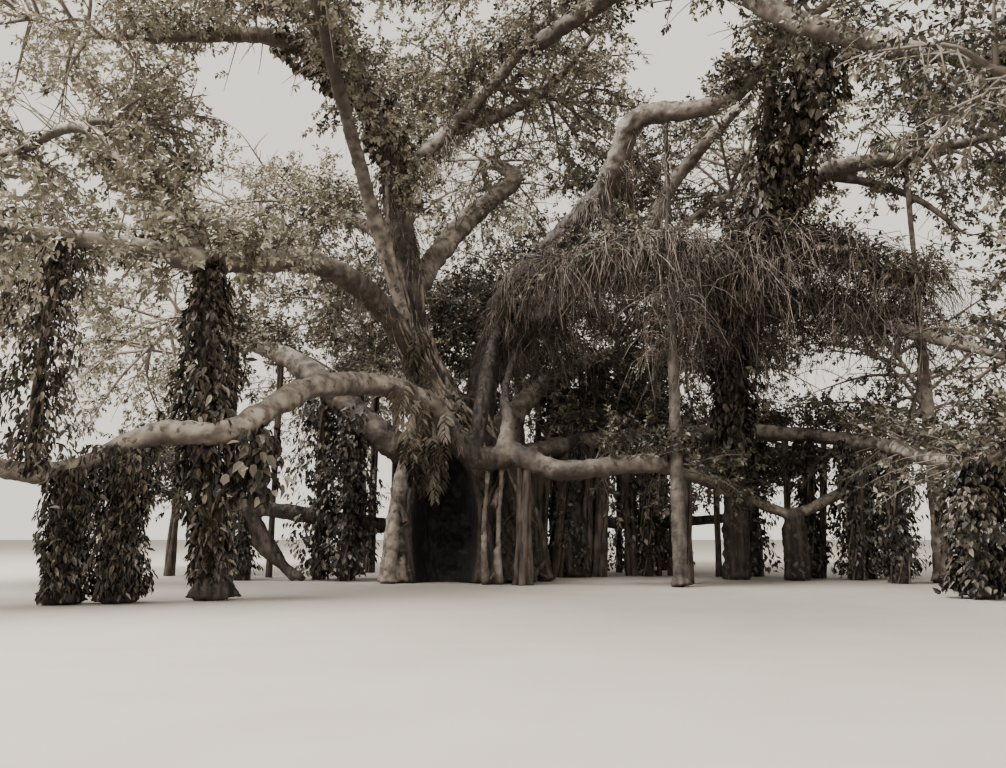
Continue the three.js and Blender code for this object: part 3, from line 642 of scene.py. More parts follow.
def bark_finish():
    """Smooth grey bark: pale and clean on the limbs, dark and streaked low on the trunk, that dark partly
    painted shade; painted shade under the limbs and painted black in the hollow.
    """
    bark = Finish("bark")
    shade = bark.node("ShaderNodeAttribute", {"attribute_name": "shade"}, result="Fac")
    patches = bark.mottle(0.9, 6)
    stains = bark.mottle(0.28, 5)
    flecks = bark.node("ShaderNodeTexVoronoi", None, {"Vector": bark.place(), "Scale": 4.2}, "Distance")
    grain = bark.mottle(0.07, 6)
    streaks = bark.mottle(0.13, 5, bark.upright())
    facing = bark.node("ShaderNodeSeparateXYZ", None, {
        "Vector": bark.node("ShaderNodeNewGeometry", result="Normal")}, "Z")
    # Where shade values are high the bark turns dark, its base partly painted shade; stains and streaks are
    # its own
    dark = bark.ramp(shade + (patches - 0.5) * 0.9, 0.3, 0.75)
    pale = bark.blend(bark.ramp(stains, 0.36, 0.62), STAINED_BARK, PALE_BARK)
    deep = bark.blend(bark.ramp(streaks, 0.4, 0.66), DARK_SHADED_BARK, STREAKED_BARK)
    colour = bark.blend(dark, pale, deep)
    marks = bark.ramp(flecks + (grain - 0.5) * 0.9 + (stains - 0.5) * 0.7, 0.13, 0.3)
    marked = bark.blend(marks, BARK_MARKS, colour)
    # Painted shade: bark that faces down is painted darker on the limbs' undersides
    under = bark.ramp(facing * -0.6 + (grain - 0.5) * 0.4, 0.0, 0.45)
    shaded = bark.blend(under * 0.8, marked, UNDERSIDE_SHADE)
    # Painted shade: where the shade value is highest, in the hollow, the bark is painted near black
    colour = bark.blend(bark.ramp(shade - 0.9, 0.3, 0.8), shaded, HOLLOW_SHADOW_BLACK)
    height = stains * 0.3 + grain * 0.3 + streaks * dark * 0.9
    rough = grain * 0.25 + 0.62
    return bark.wear(Base_Color=colour, Roughness=rough, Normal=bark.relief(height, 0.9, 0.08))


bark = bark_finish()
FACE_SIZE = 0.08
LIMB_SIDES = 16
POINT_SPACING = 0.3
bundles = []
samples = []
for name, (route, radii) in limbs.items():
    length = np.linalg.norm(np.diff(np.asarray(route, float), axis=0), axis=1).sum()
    count = max(4, round(length / POINT_SPACING))
    points = smooth_route(route, count)
    width = tapered(radii, count)
    bundles.append((points[None], width[None]))
    for point, girth, shade in zip(points, width, tapered(bark_shades(name), count)):
        samples.append((point, girth, shade))
wood = path_bundle("wood", bundles)
tubes.grow(wood, Sides=LIMB_SIDES, Ends=True, Finish=bark)
fusing = wood.modifiers.new("fuse", "REMESH")
fusing.mode = "VOXEL"
fusing.voxel_size = FACE_SIZE * 1
fusing.use_smooth_shade = True
settle(wood)


def array_of(items, field, width, kind=float):
    """One field of all points or faces, with a row for each."""
    values = np.zeros(len(items) * width, kind)
    items.foreach_get(field, values)
    return values.reshape(-1, width)


# The hollow in the trunk's front, between the columns that have fused with it, pushed in;
# its near-black bark, made further on, is painted shade
HOLLOW_CENTRE = (-0.4, -1.9, 1.6)
HOLLOW_REACH = (1.05, 1.7, 3.0)
HOLLOW_DEPTH = 1.5


def hollowness(points):
    """How near points are to the hollow's middle: 1 there and 0 at its rim."""
    return np.maximum(1 - (((points - HOLLOW_CENTRE) / HOLLOW_REACH) ** 2).sum(axis=-1), 0)


wood_points = array_of(wood.data.vertices, "co", 3)
nearness = hollowness(wood_points)
wood_points[:, 1] += HOLLOW_DEPTH * nearness
wood.data.vertices.foreach_set("co", wood_points.ravel())
wood.data.update()

# Each point of the wood takes the girth and the bark's shade of the limbs round it, the
# nearer the more. The hollow is painted darker than any limb, as painted shade.
NEAREST = 8
SOFTNESS = 0.05
HOLLOW_SHADE = 1.2
tree_points = KDTree(len(samples))
for number, (point, _, _) in enumerate(samples):
    tree_points.insert(point, number)
tree_points.balance()
girths = np.zeros(len(wood.data.vertices))
shades = np.zeros(len(wood.data.vertices))
for vertex in wood.data.vertices:
    total = girth_sum = shade_sum = 0.0
    for _, number, distance in tree_points.find_n(vertex.co, NEAREST):
        _, girth, shade = samples[number]
        weight = 1 / (SOFTNESS + max(0.0, distance - girth)) ** 3
        total += weight
        girth_sum += weight * girth
        shade_sum += weight * shade
    girths[vertex.index] = girth_sum / total
    shades[vertex.index] = shade_sum / total
# Painted shade: the hollow's points are made darker than any limb's
shades += HOLLOW_SHADE * np.minimum(nearness * 4, 1)
wood.data.attributes.new("girth", "FLOAT", "POINT").data.foreach_set("value", girths)
wood.data.attributes.new("shade", "FLOAT", "POINT").data.foreach_set("value", shades)

# The bark's relief: broad lumps and small knots, in metres across and in shares of the
# limb's girth high
relief = Growth("relief", Lump_Size="Float", Lump_Height="Float", Knot_Size="Float", Knot_Height="Float",
                Finish="Material")
girth = relief.node("GeometryNodeInputNamedAttribute", {"data_type": "FLOAT"}, {"Name": "girth"})


def swelling(size, height):
    """Cloudy lumps, as high as a share of the limb's own girth."""
    scale = relief.node("ShaderNodeMath", {"operation": "DIVIDE"}, {0: 1.0, 1: size})
    cloud = relief.node("ShaderNodeTexNoise", None, {"Scale": scale, "Detail": 2.0})
    centred = relief.node("ShaderNodeMath", {"operation": "SUBTRACT"}, {0: cloud, 1: 0.5})
    share = relief.node("ShaderNodeMath", {"operation": "MULTIPLY"}, {0: centred, 1: height})
    return relief.node("ShaderNodeMath", {"operation": "MULTIPLY"}, {0: share, 1: girth})


lumps = swelling(relief.given["Lump_Size"], relief.given["Lump_Height"])
knots = swelling(relief.given["Knot_Size"], relief.given["Knot_Height"])
rise = relief.node("ShaderNodeMath", {"operation": "ADD"}, {0: lumps, 1: knots})
outward = relief.node("ShaderNodeVectorMath", {"operation": "SCALE"}, {
    "Vector": relief.node("GeometryNodeInputNormal"), "Scale": rise})
moved = relief.node(
    "GeometryNodeSetPosition", sockets={"Geometry": relief.given["Geometry"], "Offset": outward})
smooth = relief.node("GeometryNodeSetShadeSmooth", sockets={"Geometry": relief.lift(moved)})
whole = relief.node("GeometryNodeRealizeInstances", sockets={"Geometry": smooth})
relief.close(relief.node(
    "GeometryNodeSetMaterial", sockets={"Geometry": whole, "Material": relief.given["Finish"]}))
relief.grow(wood, Lump_Size=0.8, Lump_Height=0.6, Knot_Size=0.25, Knot_Height=0.6, Finish=bark)

wood_points = array_of(wood.data.vertices, "co", 3)
wood_normals = array_of(wood.data.vertices, "normal", 3)
wood_faces = array_of(wood.data.polygons, "vertices", 4, int)
wood_shades = array_of(wood.data.attributes["shade"].data, "value", 1).ravel()
surface = BVHTree.FromPolygons(wood_points.tolist(), wood_faces.tolist())


def dress(piece, nodes):
    """Fixes a piece to the tree's one body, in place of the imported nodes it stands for."""
    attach(piece, "root")
    if nodes:
        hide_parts(*nodes)


def wood_part(name, chosen, nodes):
    """Some faces of the fused wood as one piece, with the whole wood's normals kept."""
    faces = wood_faces[chosen]
    used, numbers = np.unique(faces, return_inverse=True)
    mesh = bpy.data.meshes.new(name)
    mesh.from_pydata(wood_points[used].tolist(), [], numbers.reshape(-1, 4).tolist())
    mesh.attributes.new("shade", "FLOAT", "POINT").data.foreach_set("value", wood_shades[used])
    mesh.materials.append(bark)
    mesh.shade_smooth()
    mesh.normals_split_custom_set_from_vertices(wood_normals[used].tolist())
    dress(stand(name, mesh), nodes)


TRUNK_REACH = 5.0
middle = wood_points[wood_faces].mean(axis=1)
near_trunk = np.hypot(middle[:, 0] - TRUNK_CENTRE[0], middle[:, 1] - TRUNK_CENTRE[1]) < TRUNK_REACH
limb_nodes = [*LIMBS, *PROPS]
right_nodes = [node for node in limb_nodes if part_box(node)[0][0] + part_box(node)[1][0] > 0]
left_nodes = [node for node in limb_nodes if node not in right_nodes]
wood_part("trunk_bark", near_trunk, ["trunk"])
wood_part("limbs_left_bark", ~near_trunk & (middle[:, 0] < TRUNK_CENTRE[0]), left_nodes)
wood_part("limbs_right_bark", ~near_trunk & (middle[:, 0] >= TRUNK_CENTRE[0]), right_nodes)
bpy.data.objects.remove(wood)


# Air roots on the trunk: living roots, from as thin as a finger to as thick as an arm,
# that ran down the trunk and the leader and gripped them. Each follows the wood's own
# surface. For the trunk and for the leader: their number and the heights they start at.
GRIPPING_ROOTS = {"low": (120, 1.0, 5.0), "high": (80, 5.0, 9.5)}
GRIPPING_RADII = [0.02, 0.03, 0.045, 0.08]
GRIPPING_STEP = 0.2
# The wood's surface is looked for from outside, from further off low down on the trunk
LOW_TRUNK = 3.0
CLEAR_OF_LOW_TRUNK, CLEAR_OF_LEADER = 3.4, 1.9
LONGEST_STEP = 0.55
SHORTEST_ROOT = 5


def trunk_axis(height):
    """The middle of the trunk, and higher up of the leader that it turns into."""
    heights = [0.0, 2.5, 4.6, 7.4, 11.5]
    return np.array([
        np.interp(height, heights, [0.2, 0.1, -0.3, -1.5, -2.05]),
        np.interp(height, heights, [0.2, 0.2, 0.15, 0.0, 0.0]), height])


def gripping_root(angle, top, radius, random):
    """One root from its top down over the surface of the wood, until the wood ends."""
    points = []
    drift = random.uniform(-0.07, 0.07)
    for height in np.arange(top, -0.01, -GRIPPING_STEP):
        angle += drift + random.normal(0, 0.05)
        outward = np.array([math.cos(angle), math.sin(angle), 0.0])
        axis = trunk_axis(height)
        start = axis + outward * (CLEAR_OF_LOW_TRUNK if height < LOW_TRUNK else CLEAR_OF_LEADER)
        hit, _, _, _ = surface.ray_cast(Vector(start), Vector(-outward))
        if hit is None:
            break
        point = np.array(hit) + outward * radius * 0.4
        # No root crosses the hollow, and none leaps from one limb to another
        if hollowness(point - (0, 0.5, 0)) > 0.1:
            break
        if points and np.linalg.norm(point - points[-1]) > LONGEST_STEP:
            break
        points.append(point)
    points = np.array(points)
    for _ in range(2):
        points[1:-1] = (points[:-2] + 2 * points[1:-1] + points[2:]) / 4
    return points


def fibre_finish(name, dark, pale):
    """Dry stringy root bark between a dark and a pale colour."""
    fibre = Finish(name)
    tone = fibre.ramp(fibre.mottle(0.5, 4) * 0.4 + fibre.mottle(0.08, 5, fibre.upright()) * 0.6, 0.4, 0.6)
    strings = fibre.relief(fibre.mottle(0.05, 5, fibre.upright()), 0.6, 0.02)
    return fibre.wear(Base_Color=fibre.blend(tone, dark, pale), Roughness=0.75, Normal=strings)


# Two copies of the root fibre: the dark one is partly painted shade, for roots low on the trunk, in the
# standing columns and deep in the thatch; the pale one partly painted light
dark_shaded_fibre = fibre_finish("dark_root_fibre", (0.016, 0.012, 0.010), (0.12, 0.092, 0.076))
pale_fibre = fibre_finish("pale_root_fibre", (0.025, 0.019, 0.015), (0.34, 0.285, 0.24))

chance = np.random.default_rng(3)
for level, (number, lowest, highest) in GRIPPING_ROOTS.items():
    bundles = []
    for _ in range(number):
        root_radius = chance.choice(GRIPPING_RADII)
        start = chance.uniform(lowest, highest)
        route = gripping_root(chance.uniform(0, 2 * math.pi), start, root_radius, chance)
        if len(route) > SHORTEST_ROOT:
            width = root_radius * np.linspace(0.7, 1.3, len(route))
            bundles.append((route[None], width[None]))
    gripping = path_bundle(f"gripping_roots_{level}", bundles)
    # Roots low on the trunk take the dark fibre, partly painted shade under the crown
    tubes.grow(gripping, Sides=6, Ends=True, Finish=dark_shaded_fibre if level == "low" else pale_fibre)
    dress(gripping, [])


# Standing air roots: columns that dropped from a bough, rooted and thickened. Each is
# a few dark strands grown together, dark partly as painted shade under the crown, with a
# small flared foot, and meets its bough at one of these shares of the bough's length.
COLUMNS = {
    "bough_low_right_far": [
        0.05, 0.08, 0.12, 0.15, 0.18, 0.21, 0.25, 0.29, 0.34, 0.38, 0.44, 0.5, 0.56, 0.62],
    "bough_low_right": [0.2, 0.66],
    "bough_mid_left": [0.62, 0.85],
    "bough_under_left": [0.75],
    "bough_back_left": [0.4, 0.6],
    "bough_back_right": [0.3, 0.42, 0.5, 0.6, 0.68, 0.8],
    "bough_back": [0.4, 0.6],
}
STRANDS_PER_COLUMN = 4
STRAND_RADII = [0.06, 0.09, 0.14]
STRAND_RINGS = 14


def level_directions(turns):
    """Level directions, each turned by its angle from the right."""
    return np.stack([np.cos(turns), np.sin(turns), 0 * turns], axis=1)


bundles = []
for bough, shares in COLUMNS.items():
    for share in shares:
        top = point_on(bough, share)
        foot = np.array([top[0] + chance.uniform(-0.3, 0.3), top[1] + chance.uniform(-0.5, 0.5), 0.0])
        along = np.linspace(0, 1, STRAND_RINGS)
        girth = chance.choice(STRAND_RADII)
        for strand in range(STRANDS_PER_COLUMN):
            turn = strand * 2 * math.pi / STRANDS_PER_COLUMN + along * chance.uniform(0.5, 3)
            apart = girth * (1.0 + chance.uniform(0.1, 0.5) * np.exp(-along * 22))
            line = foot + (top - foot) * along[:, None]
            line += level_directions(turn) * apart[:, None]
            width = girth * chance.uniform(0.6, 1.2) * (1 + 0.15 * np.sin(along * chance.uniform(6, 14)))
            bundles.append((line[None], width[None]))
columns = path_bundle("standing_roots", bundles)
tubes.grow(columns, Sides=6, Ends=True, Finish=dark_shaded_fibre)
dress(columns, [])


# Foliage: small leathery leaves in sprays, on twigs that branch from one stem in each
# mass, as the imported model's rule grows them, and carried to finer twigs here. Each mass
# has the bough that bears it, and the middle and the reach of its egg-shaped space.
MASSES = {
    "leaves_left_front": ("bough_low_left", (-13.2, -11.8, 7.6), (4.8, 4.8, 4.6)),
    "leaves_left": ("bough_riser_left", (-13.4, -3.4, 9.4), (4.6, 5.0, 2.9)),
    "leaves_left_high": ("bough_top_left", (-12.7, -3.6, 16.3), (5.0, 5.4, 2.9)),
    "leaves_left_back": ("bough_mid_left", (-13.0, 7.4, 8.6), (4.9, 5.2, 4.4)),
    "leaves_back_left": ("bough_back_left", (-6.6, 14.2, 8.4), (5.0, 4.7, 4.4)),
    "leaves_back": ("bough_back", (2.8, 15.0, 9.0), (5.2, 4.2, 4.6)),
    "leaves_back_right": ("bough_back_right", (11.2, 11.8, 8.6), (5.0, 5.0, 4.4)),
    "leaves_right": ("bough_right_loop", (15.2, 3.4, 7.8), (4.3, 4.9, 4.0)),
    "leaves_right_front": ("bough_right_droop", (15.0, -8.4, 5.8), (4.3, 5.0, 3.4)),
    "leaves_right_high": ("bough_right_level", (15.6, -2.8, 13.4), (3.9, 4.8, 2.9)),
    "leaves_front_right": ("bough_overhead_right", (12.2, -13.4, 9.9), (4.8, 4.6, 3.3)),
    "leaves_front": ("bough_front", (-2.4, -12.8, 14.9), (6.5, 5.8, 3.3)),
    "leaves_crown_left_front": ("bough_crown_left_front", (-6.4, -6.6, 17.7), (4.9, 4.9, 2.6)),
    "leaves_crown_left": ("bough_crown_left", (-8.8, 7.2, 14.3), (5.4, 5.2, 3.3)),
    "leaves_crown_back": ("bough_crown_back", (0.6, 9.4, 16.2), (5.4, 5.2, 3.5)),
    "leaves_crown_right": ("bough_right_slant", (10.4, 4.6, 15.4), (5.2, 5.2, 3.3)),
    "leaves_crown_top": ("bough_crown", (0.8, -0.2, 20.5), (6.2, 6.0, 2.9)),
    "leaves_crown_front": ("bough_right_arch", (8.2, -7.6, 17.2), (5.5, 5.5, 2.9)),
}
FOLIAGE_GROUPS = {
    "foliage_left": ["leaves_left_front", "leaves_left", "leaves_left_back"],
    "foliage_left_high": ["leaves_left_high", "leaves_crown_left_front", "leaves_crown_left"],
    "foliage_back": ["leaves_back_left", "leaves_back", "leaves_back_right"],
    "foliage_right": ["leaves_right", "leaves_right_front", "leaves_front_right"],
    "foliage_right_high": ["leaves_right_high", "leaves_crown_right", "leaves_crown_front"],
    "foliage_top": ["leaves_crown_top", "leaves_crown_back", "leaves_front"],
}
# Loose leafy growth that springs from the middle of the inner boughs and fills the crown
# behind the trunk
INNER_MASSES = {
    "inner_back": ("bough_back", (2.6, 8.0, 11.6), (4.6, 3.4, 2.7)),
    "inner_back_right": ("bough_back_right", (8.0, 7.4, 11.0), (4.6, 3.4, 2.7)),
    "inner_back_left": ("bough_back_left", (-4.8, 8.0, 11.0), (4.6, 3.4, 2.7)),
    "inner_crown": ("bough_crown", (3.6, 3.2, 17.2), (3.6, 3.2, 2.7)),
    "inner_slant": ("bough_right_slant", (6.0, 5.4, 14.8), (3.9, 3.2, 2.7)),
    "inner_top": ("bough_crown", (-0.6, 2.4, 17.2), (3.2, 3.0, 2.4)),
    "inner_middle": ("bough_back", (-0.2, 4.6, 9.2), (2.8, 2.4, 2.3)),
    "inner_left": ("bough_riser_left", (-8.8, -3.8, 12.8), (2.2, 2.4, 2.6)),
    "inner_low_right": ("bough_back_right", (5.6, 5.0, 5.2), (3.2, 2.4, 2.0)),
    "inner_far_right": ("bough_low_right_far", (10.4, 5.4, 4.3), (3.0, 2.0, 1.7)),
}
# Where the photo shows open sky: middle and half size in its pixels, and how open
SKY_GAPS = [
    (50, 112, 48, 26, 0.95), (265, 88, 46, 74, 0.95), (216, 188, 26, 18, 0.8), (165, 300, 40, 30, 0.6),
    (462, 190, 22, 44, 0.85), (570, 212, 32, 22, 0.8), (690, 15, 60, 30, 0.7), (752, 130, 24, 34, 0.7),
    (705, 170, 28, 22, 0.8), (905, 128, 62, 14, 0.8), (925, 180, 50, 12, 0.7), (705, 236, 24, 14, 0.85),
    (890, 215, 60, 20, 0.6), (840, 370, 42, 26, 0.8), (205, 535, 28, 48, 1.0), (655, 548, 16, 26, 0.9),
    (945, 345, 60, 70, 0.65), (512, 165, 44, 46, 0.6), (150, 105, 70, 60, 0.6), (690, 205, 60, 40, 0.5),
    (945, 150, 50, 13, 0.7), (930, 58, 50, 18, 0.6), (285, 360, 40, 22, 0.6),
    (520, 105, 90, 50, 0.4), (60, 190, 60, 40, 0.3), (450, 40, 60, 30, 0.3),
]
# Where the photo shows a low limb's bark before its leaves: the ends of its stretch and
# the half width kept free, in pixels
BARE_BANDS = [
    ((585, 468), (650, 464), 9), ((650, 464), (704, 479), 9),
    ((770, 433), (872, 443), 10), ((872, 443), (936, 459), 11),
]
BRANCHES = 22
TWIGS_PER_BRANCH = 10
SPRAYS_PER_TWIG = 6
LEAVES_PER_SPRAY = 9
LEAF_LENGTH = 0.17
BOUGH_POINTS = 60
INNER_START = 34
STEM_POINTS = 21
STEM_TIP_RADIUS = 0.07
INNER_STEM_RADIUS = 0.12
BRANCH_POINTS = 9
BRANCH_RADII = (0.085, 0.025)
TWIG_RADII = [0.028, 0.02, 0.014, 0.008]
SPRAY_RADII = [0.009, 0.004]
# Side shoots and leaves stand in a spiral, each turned this far from the one before
SPIRAL_TURN = 2.4
# Where one leaf tone gives way to the next, from deep to pale
TONE_STEPS = [-0.75, 0.35, 1.25]
SHARED_RIM = 0.06
LOWEST_SPRAY = 0.35
SPRAY_MARGIN = 0.22
CROWN_LOW = np.array(solid_box[0]) + SPRAY_MARGIN
CROWN_HIGH = np.array(solid_box[1]) - SPRAY_MARGIN
GOLDEN_TURN = math.pi * (3 - math.sqrt(5))
UP = np.array([0.0, 0.0, 1.0])


def unit(vectors):
    """The same directions, one unit long."""
    return vectors / np.maximum(np.linalg.norm(vectors, axis=-1, keepdims=True), 1e-9)


def even_direction(index, count):
    """One of a number of directions that are spread evenly all round."""
    height = 1 - 2 * (index + 0.5) / count
    level = math.sqrt(1 - height * height)
    return np.array([level * math.cos(index * GOLDEN_TURN), level * math.sin(index * GOLDEN_TURN), height])


def seen_at(points):
    """Where points in space fall in the photo, in its pixels."""
    away = points - EYE
    forward = away[..., 1] * math.cos(TILT) + away[..., 2] * math.sin(TILT)
    upward = away[..., 2] * math.cos(TILT) - away[..., 1] * math.sin(TILT)
    across = PICTURE_WIDTH / 2 + FOCAL_PIXELS * away[..., 0] / forward
    down = PICTURE_HEIGHT / 2 - FOCAL_PIXELS * upward / forward
    return across, down


def not_in_sky(points, random):
    """False for most of the points that would close a gap where sky shows."""
    across, down = seen_at(points)
    keep = np.ones(len(points), bool)
    for x, y, wide, high, openness in SKY_GAPS:
        inside = ((across - x) / wide) ** 2 + ((down - y) / high) ** 2 < 1
        keep &= ~(inside & (random.random(len(points)) < openness))
    return keep


def off_bare_bark(points):
    """False for the points that would hide a low limb's bark that the photo shows."""
    spots = np.stack(seen_at(points), axis=1)
    keep = np.ones(len(points), bool)
    for first, last, half_width in BARE_BANDS:
        run = np.subtract(last, first)
        share = np.clip((spots - first) @ run / (run @ run), 0, 1)
        keep &= np.linalg.norm(spots - first - share[:, None] * run, axis=1) > half_width
    return keep


def in_crown(points):
    """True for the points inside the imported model's own outer size, clear of the ground."""
    inside = ((points > CROWN_LOW) & (points < CROWN_HIGH)).all(axis=1)
    return inside & (points[:, 2] > LOWEST_SPRAY)


def in_own_space(mass, points):
    """True for the points that lie in a mass's own egg-shaped space."""
    own = None
    others = np.full(len(points), np.inf)
    for name, (_, centre, radii) in {**MASSES, **INNER_MASSES}.items():
        reach = np.linalg.norm((points - centre) / radii, axis=1)
        if name == mass:
            own = reach
        else:
            others = np.minimum(others, reach)
    return (own < 1.0) & (own < others + SHARED_RIM)


def side_ways(directions, turns):
    """A direction square to each given one, turned round it by an angle."""
    level = unit(np.cross(directions, UP) + 1e-6)
    upper = np.cross(level, directions)
    return level * np.cos(turns)[..., None] + upper * np.sin(turns)[..., None]


class Growing:
    """Twigs, sprays and leaves as they are grown, before they are made pieces."""

    def __init__(self):
        self.paths = []
        self.leaves = []

    def add_leaves(self, roots, directions, facings, sizes, tones):
        """Leaves from their roots along directions, with the ways that they face."""
        self.leaves.append((roots, unit(directions), facings, sizes, tones))


def leafy_twigs(growing, starts, headings, lengths, random, keep=None, lightness=0.0):
    """Twigs from the given points, with leafy sprays along both sides and at the tip."""
    tips = starts + headings * lengths[:, None]
    within = in_crown(tips) & off_bare_bark(tips) & off_bare_bark((starts + 2 * tips) / 3)
    starts, headings, lengths = starts[within], headings[within], lengths[within]
    count = len(starts)
    droop = -0.2 * lengths[:, None] * UP + random.normal(0, 0.06, (count, 3)) * lengths[:, None]

    def along(share):
        """The point of each twig at a share of its length, with its droop."""
        return starts + headings * (share * lengths)[:, None] + droop * (share * share)[:, None]

    steps = [along(np.full(count, share)) for share in (0, 0.4, 0.75, 1.0)]
    growing.paths.append((np.stack(steps, axis=1), np.array(TWIG_RADII)[None]))
    turns = random.uniform(0, 2 * math.pi, count)
    for number in range(SPRAYS_PER_TWIG):
        last = number == SPRAYS_PER_TWIG - 1
        share = np.full(count, (number + 1.2) / (SPRAYS_PER_TWIG + 0.2))
        root = along(share)
        forward = unit(headings * lengths[:, None] + 2 * droop * share[:, None])
        sideways = side_ways(forward, turns + number * SPIRAL_TURN)
        heading = unit(forward * (1.0 if last else 0.55) + sideways * (0.15 if last else 0.85))
        length = random.uniform(0.28, 0.5, count)
        tip = root + heading * length[:, None]
        chosen = not_in_sky(tip, random) & in_crown(tip) & off_bare_bark(tip)
        if keep is not None:
            chosen &= keep(tip)
        root, heading, tip, length = root[chosen], heading[chosen], tip[chosen], length[chosen]
        growing.paths.append((np.stack([root, tip], axis=1), np.array(SPRAY_RADII)[None]))
        shade = random.normal(lightness, 1.0, len(root))
        tones = np.digitize(shade, TONE_STEPS)
        for leaf in range(LEAVES_PER_SPRAY):
            place = (leaf + 0.8) / LEAVES_PER_SPRAY
            turn = random.uniform(-0.5, 0.5, len(root)) + leaf * SPIRAL_TURN
            sideways = side_ways(heading, turn)
            direction = heading * (0.35 + 0.5 * place) + sideways * 0.85 - UP * 0.3
            facing = UP * 0.8 + random.normal(0, 0.6, (len(root), 3))
            sizes = LEAF_LENGTH * random.uniform(0.7, 1.2, len(root))
            growing.add_leaves(root + heading * (length * place)[:, None], direction, facing, sizes, tones)


def grow_mass(growing, name, seed, lightness):
    """One mass: a stem from its bough's tip, branches spread over its space, twigs."""
    inner = name in INNER_MASSES
    bough, centre, radii = INNER_MASSES[name] if inner else MASSES[name]
    centre, radii = np.array(centre), np.array(radii)
    route = smooth_route(LIMBS[bough][0], BOUGH_POINTS)
    last = INNER_START if inner else -1
    tip = route[last]
    tangent = unit(route[last] - route[last - 2])
    to_centre = np.linalg.norm(centre - tip)
    growth = (centre - tip) / to_centre
    bend = tip + tangent * to_centre * (0.12 if inner else 0.4)
    stem = smooth_route([tip - 0.08 * tangent, bend, centre], STEM_POINTS)
    tip_radius = INNER_STEM_RADIUS if inner else LIMBS[bough][1][-1]
    growing.paths.append((stem[None], np.linspace(tip_radius, STEM_TIP_RADIUS, STEM_POINTS)[None]))
    random = np.random.default_rng(seed)
    starts, headings, lengths = [], [], []
    for i in range(BRANCHES):
        spread = radii * even_direction(i, BRANCHES)
        end = centre + spread * random.uniform(0.74, 0.9)
        forward = (end - tip) @ growth / to_centre
        start = stem[round((STEM_POINTS - 1) * min(max(forward * 0.7, 0.12), 0.97))]
        reach = np.linalg.norm(end - start)
        arch = (start + end) / 2 + 0.1 * reach * UP + random.normal(0, 0.05, 3) * reach
        branch = smooth_route([start, arch, end], BRANCH_POINTS)
        growing.paths.append((branch[None], np.linspace(*BRANCH_RADII, BRANCH_POINTS)[None]))
        for twig in range(TWIGS_PER_BRANCH):
            share = 0.22 + 0.78 * (twig + 1) / TWIGS_PER_BRANCH
            place = share * (BRANCH_POINTS - 1)
            low = min(int(place), BRANCH_POINTS - 2)
            forward = unit(branch[low + 1] - branch[low])
            sideways = side_ways(forward, np.float64(random.normal(0, 0.7) + math.pi * (twig % 2)))
            last = twig == TWIGS_PER_BRANCH - 1
            starts.append(branch[low] + (branch[low + 1] - branch[low]) * (place - low))
            headings.append(unit(forward * (1.0 if last else 0.5) + sideways * (0.1 if last else 0.85)))
            lengths.append(random.uniform(0.2, 0.36) * radii.mean() * (1.25 - 0.5 * share))
    leafy_twigs(
        growing, np.array(starts), np.array(headings), np.array(lengths), random,
        keep=lambda points: in_own_space(name, points), lightness=lightness)


def leaf_finishes(tones, patch, spread, roughness):
    """A finish for each tone of a plant's leaves, a little darker or paler in patches."""
    finishes = []
    for name, tone in tones.items():
        leaf = Finish(name)
        darker = tuple(part * (1 - spread) for part in tone)
        paler = tuple(part * (1 + spread) for part in tone)
        tint = leaf.blend(leaf.mottle(patch, 3), darker, paler)
        finishes.append(leaf.wear(Base_Color=tint, Roughness=roughness))
    return finishes


# Each spray has one of these tones; the pale tone is partly a painted glint and painted
# glow of the sky through the leaves
TREE_LEAF_TONES = {
    "leaf_deep": (0.018, 0.017, 0.011), "leaf_mid": (0.062, 0.056, 0.038),
    "leaf_light": (0.18, 0.165, 0.118), "leaf_pale": (0.345, 0.32, 0.25),
}
tree_finishes = leaf_finishes(TREE_LEAF_TONES, 0.6, 0.28, 0.48)


def blade(name, widths, sag):
    """A leaf one unit long, folded along its rib, from the half widths along it."""
    right = [(half, along, 0.05) for along, half in widths]
    left = [(-half, along, 0.05) for along, half in reversed(widths)]
    outline = [(0, 0, 0), *right, (0, 1, -sag), *left]
    faces = [(0, corner, corner + 1) for corner in range(1, len(outline) - 1)]
    mesh = bpy.data.meshes.new(name)
    mesh.from_pydata(outline, [], faces)
    return stand(name, mesh)


small_leaf = blade("small_leaf", [(0.4, 0.29)], 0.1)
narrow_leaf = blade("narrow_leaf", [(0.2, 0.15), (0.52, 0.17)], 0.2)
broad_leaf = blade("broad_leaf", [(0.1, 0.22), (0.5, 0.28)], 0.18)
long_leaf = blade("long_leaf", [(0.25, 0.11), (0.55, 0.12)], 0.3)

# One blade at each root, turned and sized by the root's attributes, in one of four tones
leafing = Growth(
    "leafing", Leaf="Object", Deep="Material", Mid="Material", Light="Material", Pale="Material")
leaf_points = leafing.node("GeometryNodeMeshToPoints", sockets={"Mesh": leafing.given["Geometry"]})
leaf_turn = leafing.node("GeometryNodeInputNamedAttribute", {"data_type": "QUATERNION"}, {"Name": "turn"})
leaf_size = leafing.node("GeometryNodeInputNamedAttribute", {"data_type": "FLOAT"}, {"Name": "size"})
leaf_tone = leafing.node("GeometryNodeInputNamedAttribute", {"data_type": "INT"}, {"Name": "tone"})
leaf_blade = leafing.node(
    "GeometryNodeObjectInfo", sockets={"Object": leafing.given["Leaf"]}, result="Geometry")
leaf_each = leafing.node("GeometryNodeInstanceOnPoints", sockets={
    "Points": leaf_points, "Instance": leaf_blade, "Rotation": leaf_turn, "Scale": leaf_size})
leaf_all = leafing.node("GeometryNodeRealizeInstances", sockets={"Geometry": leaf_each})
for number, label in enumerate(["Deep", "Mid", "Light", "Pale"]):
    picked = leafing.node(
        "FunctionNodeCompare", {"data_type": "INT", "operation": "EQUAL"}, {2: leaf_tone, 3: number})
    leaf_all = leafing.node("GeometryNodeSetMaterial", sockets={
        "Geometry": leaf_all, "Selection": picked, "Material": leafing.given[label]})
leafing.close(leaf_all)


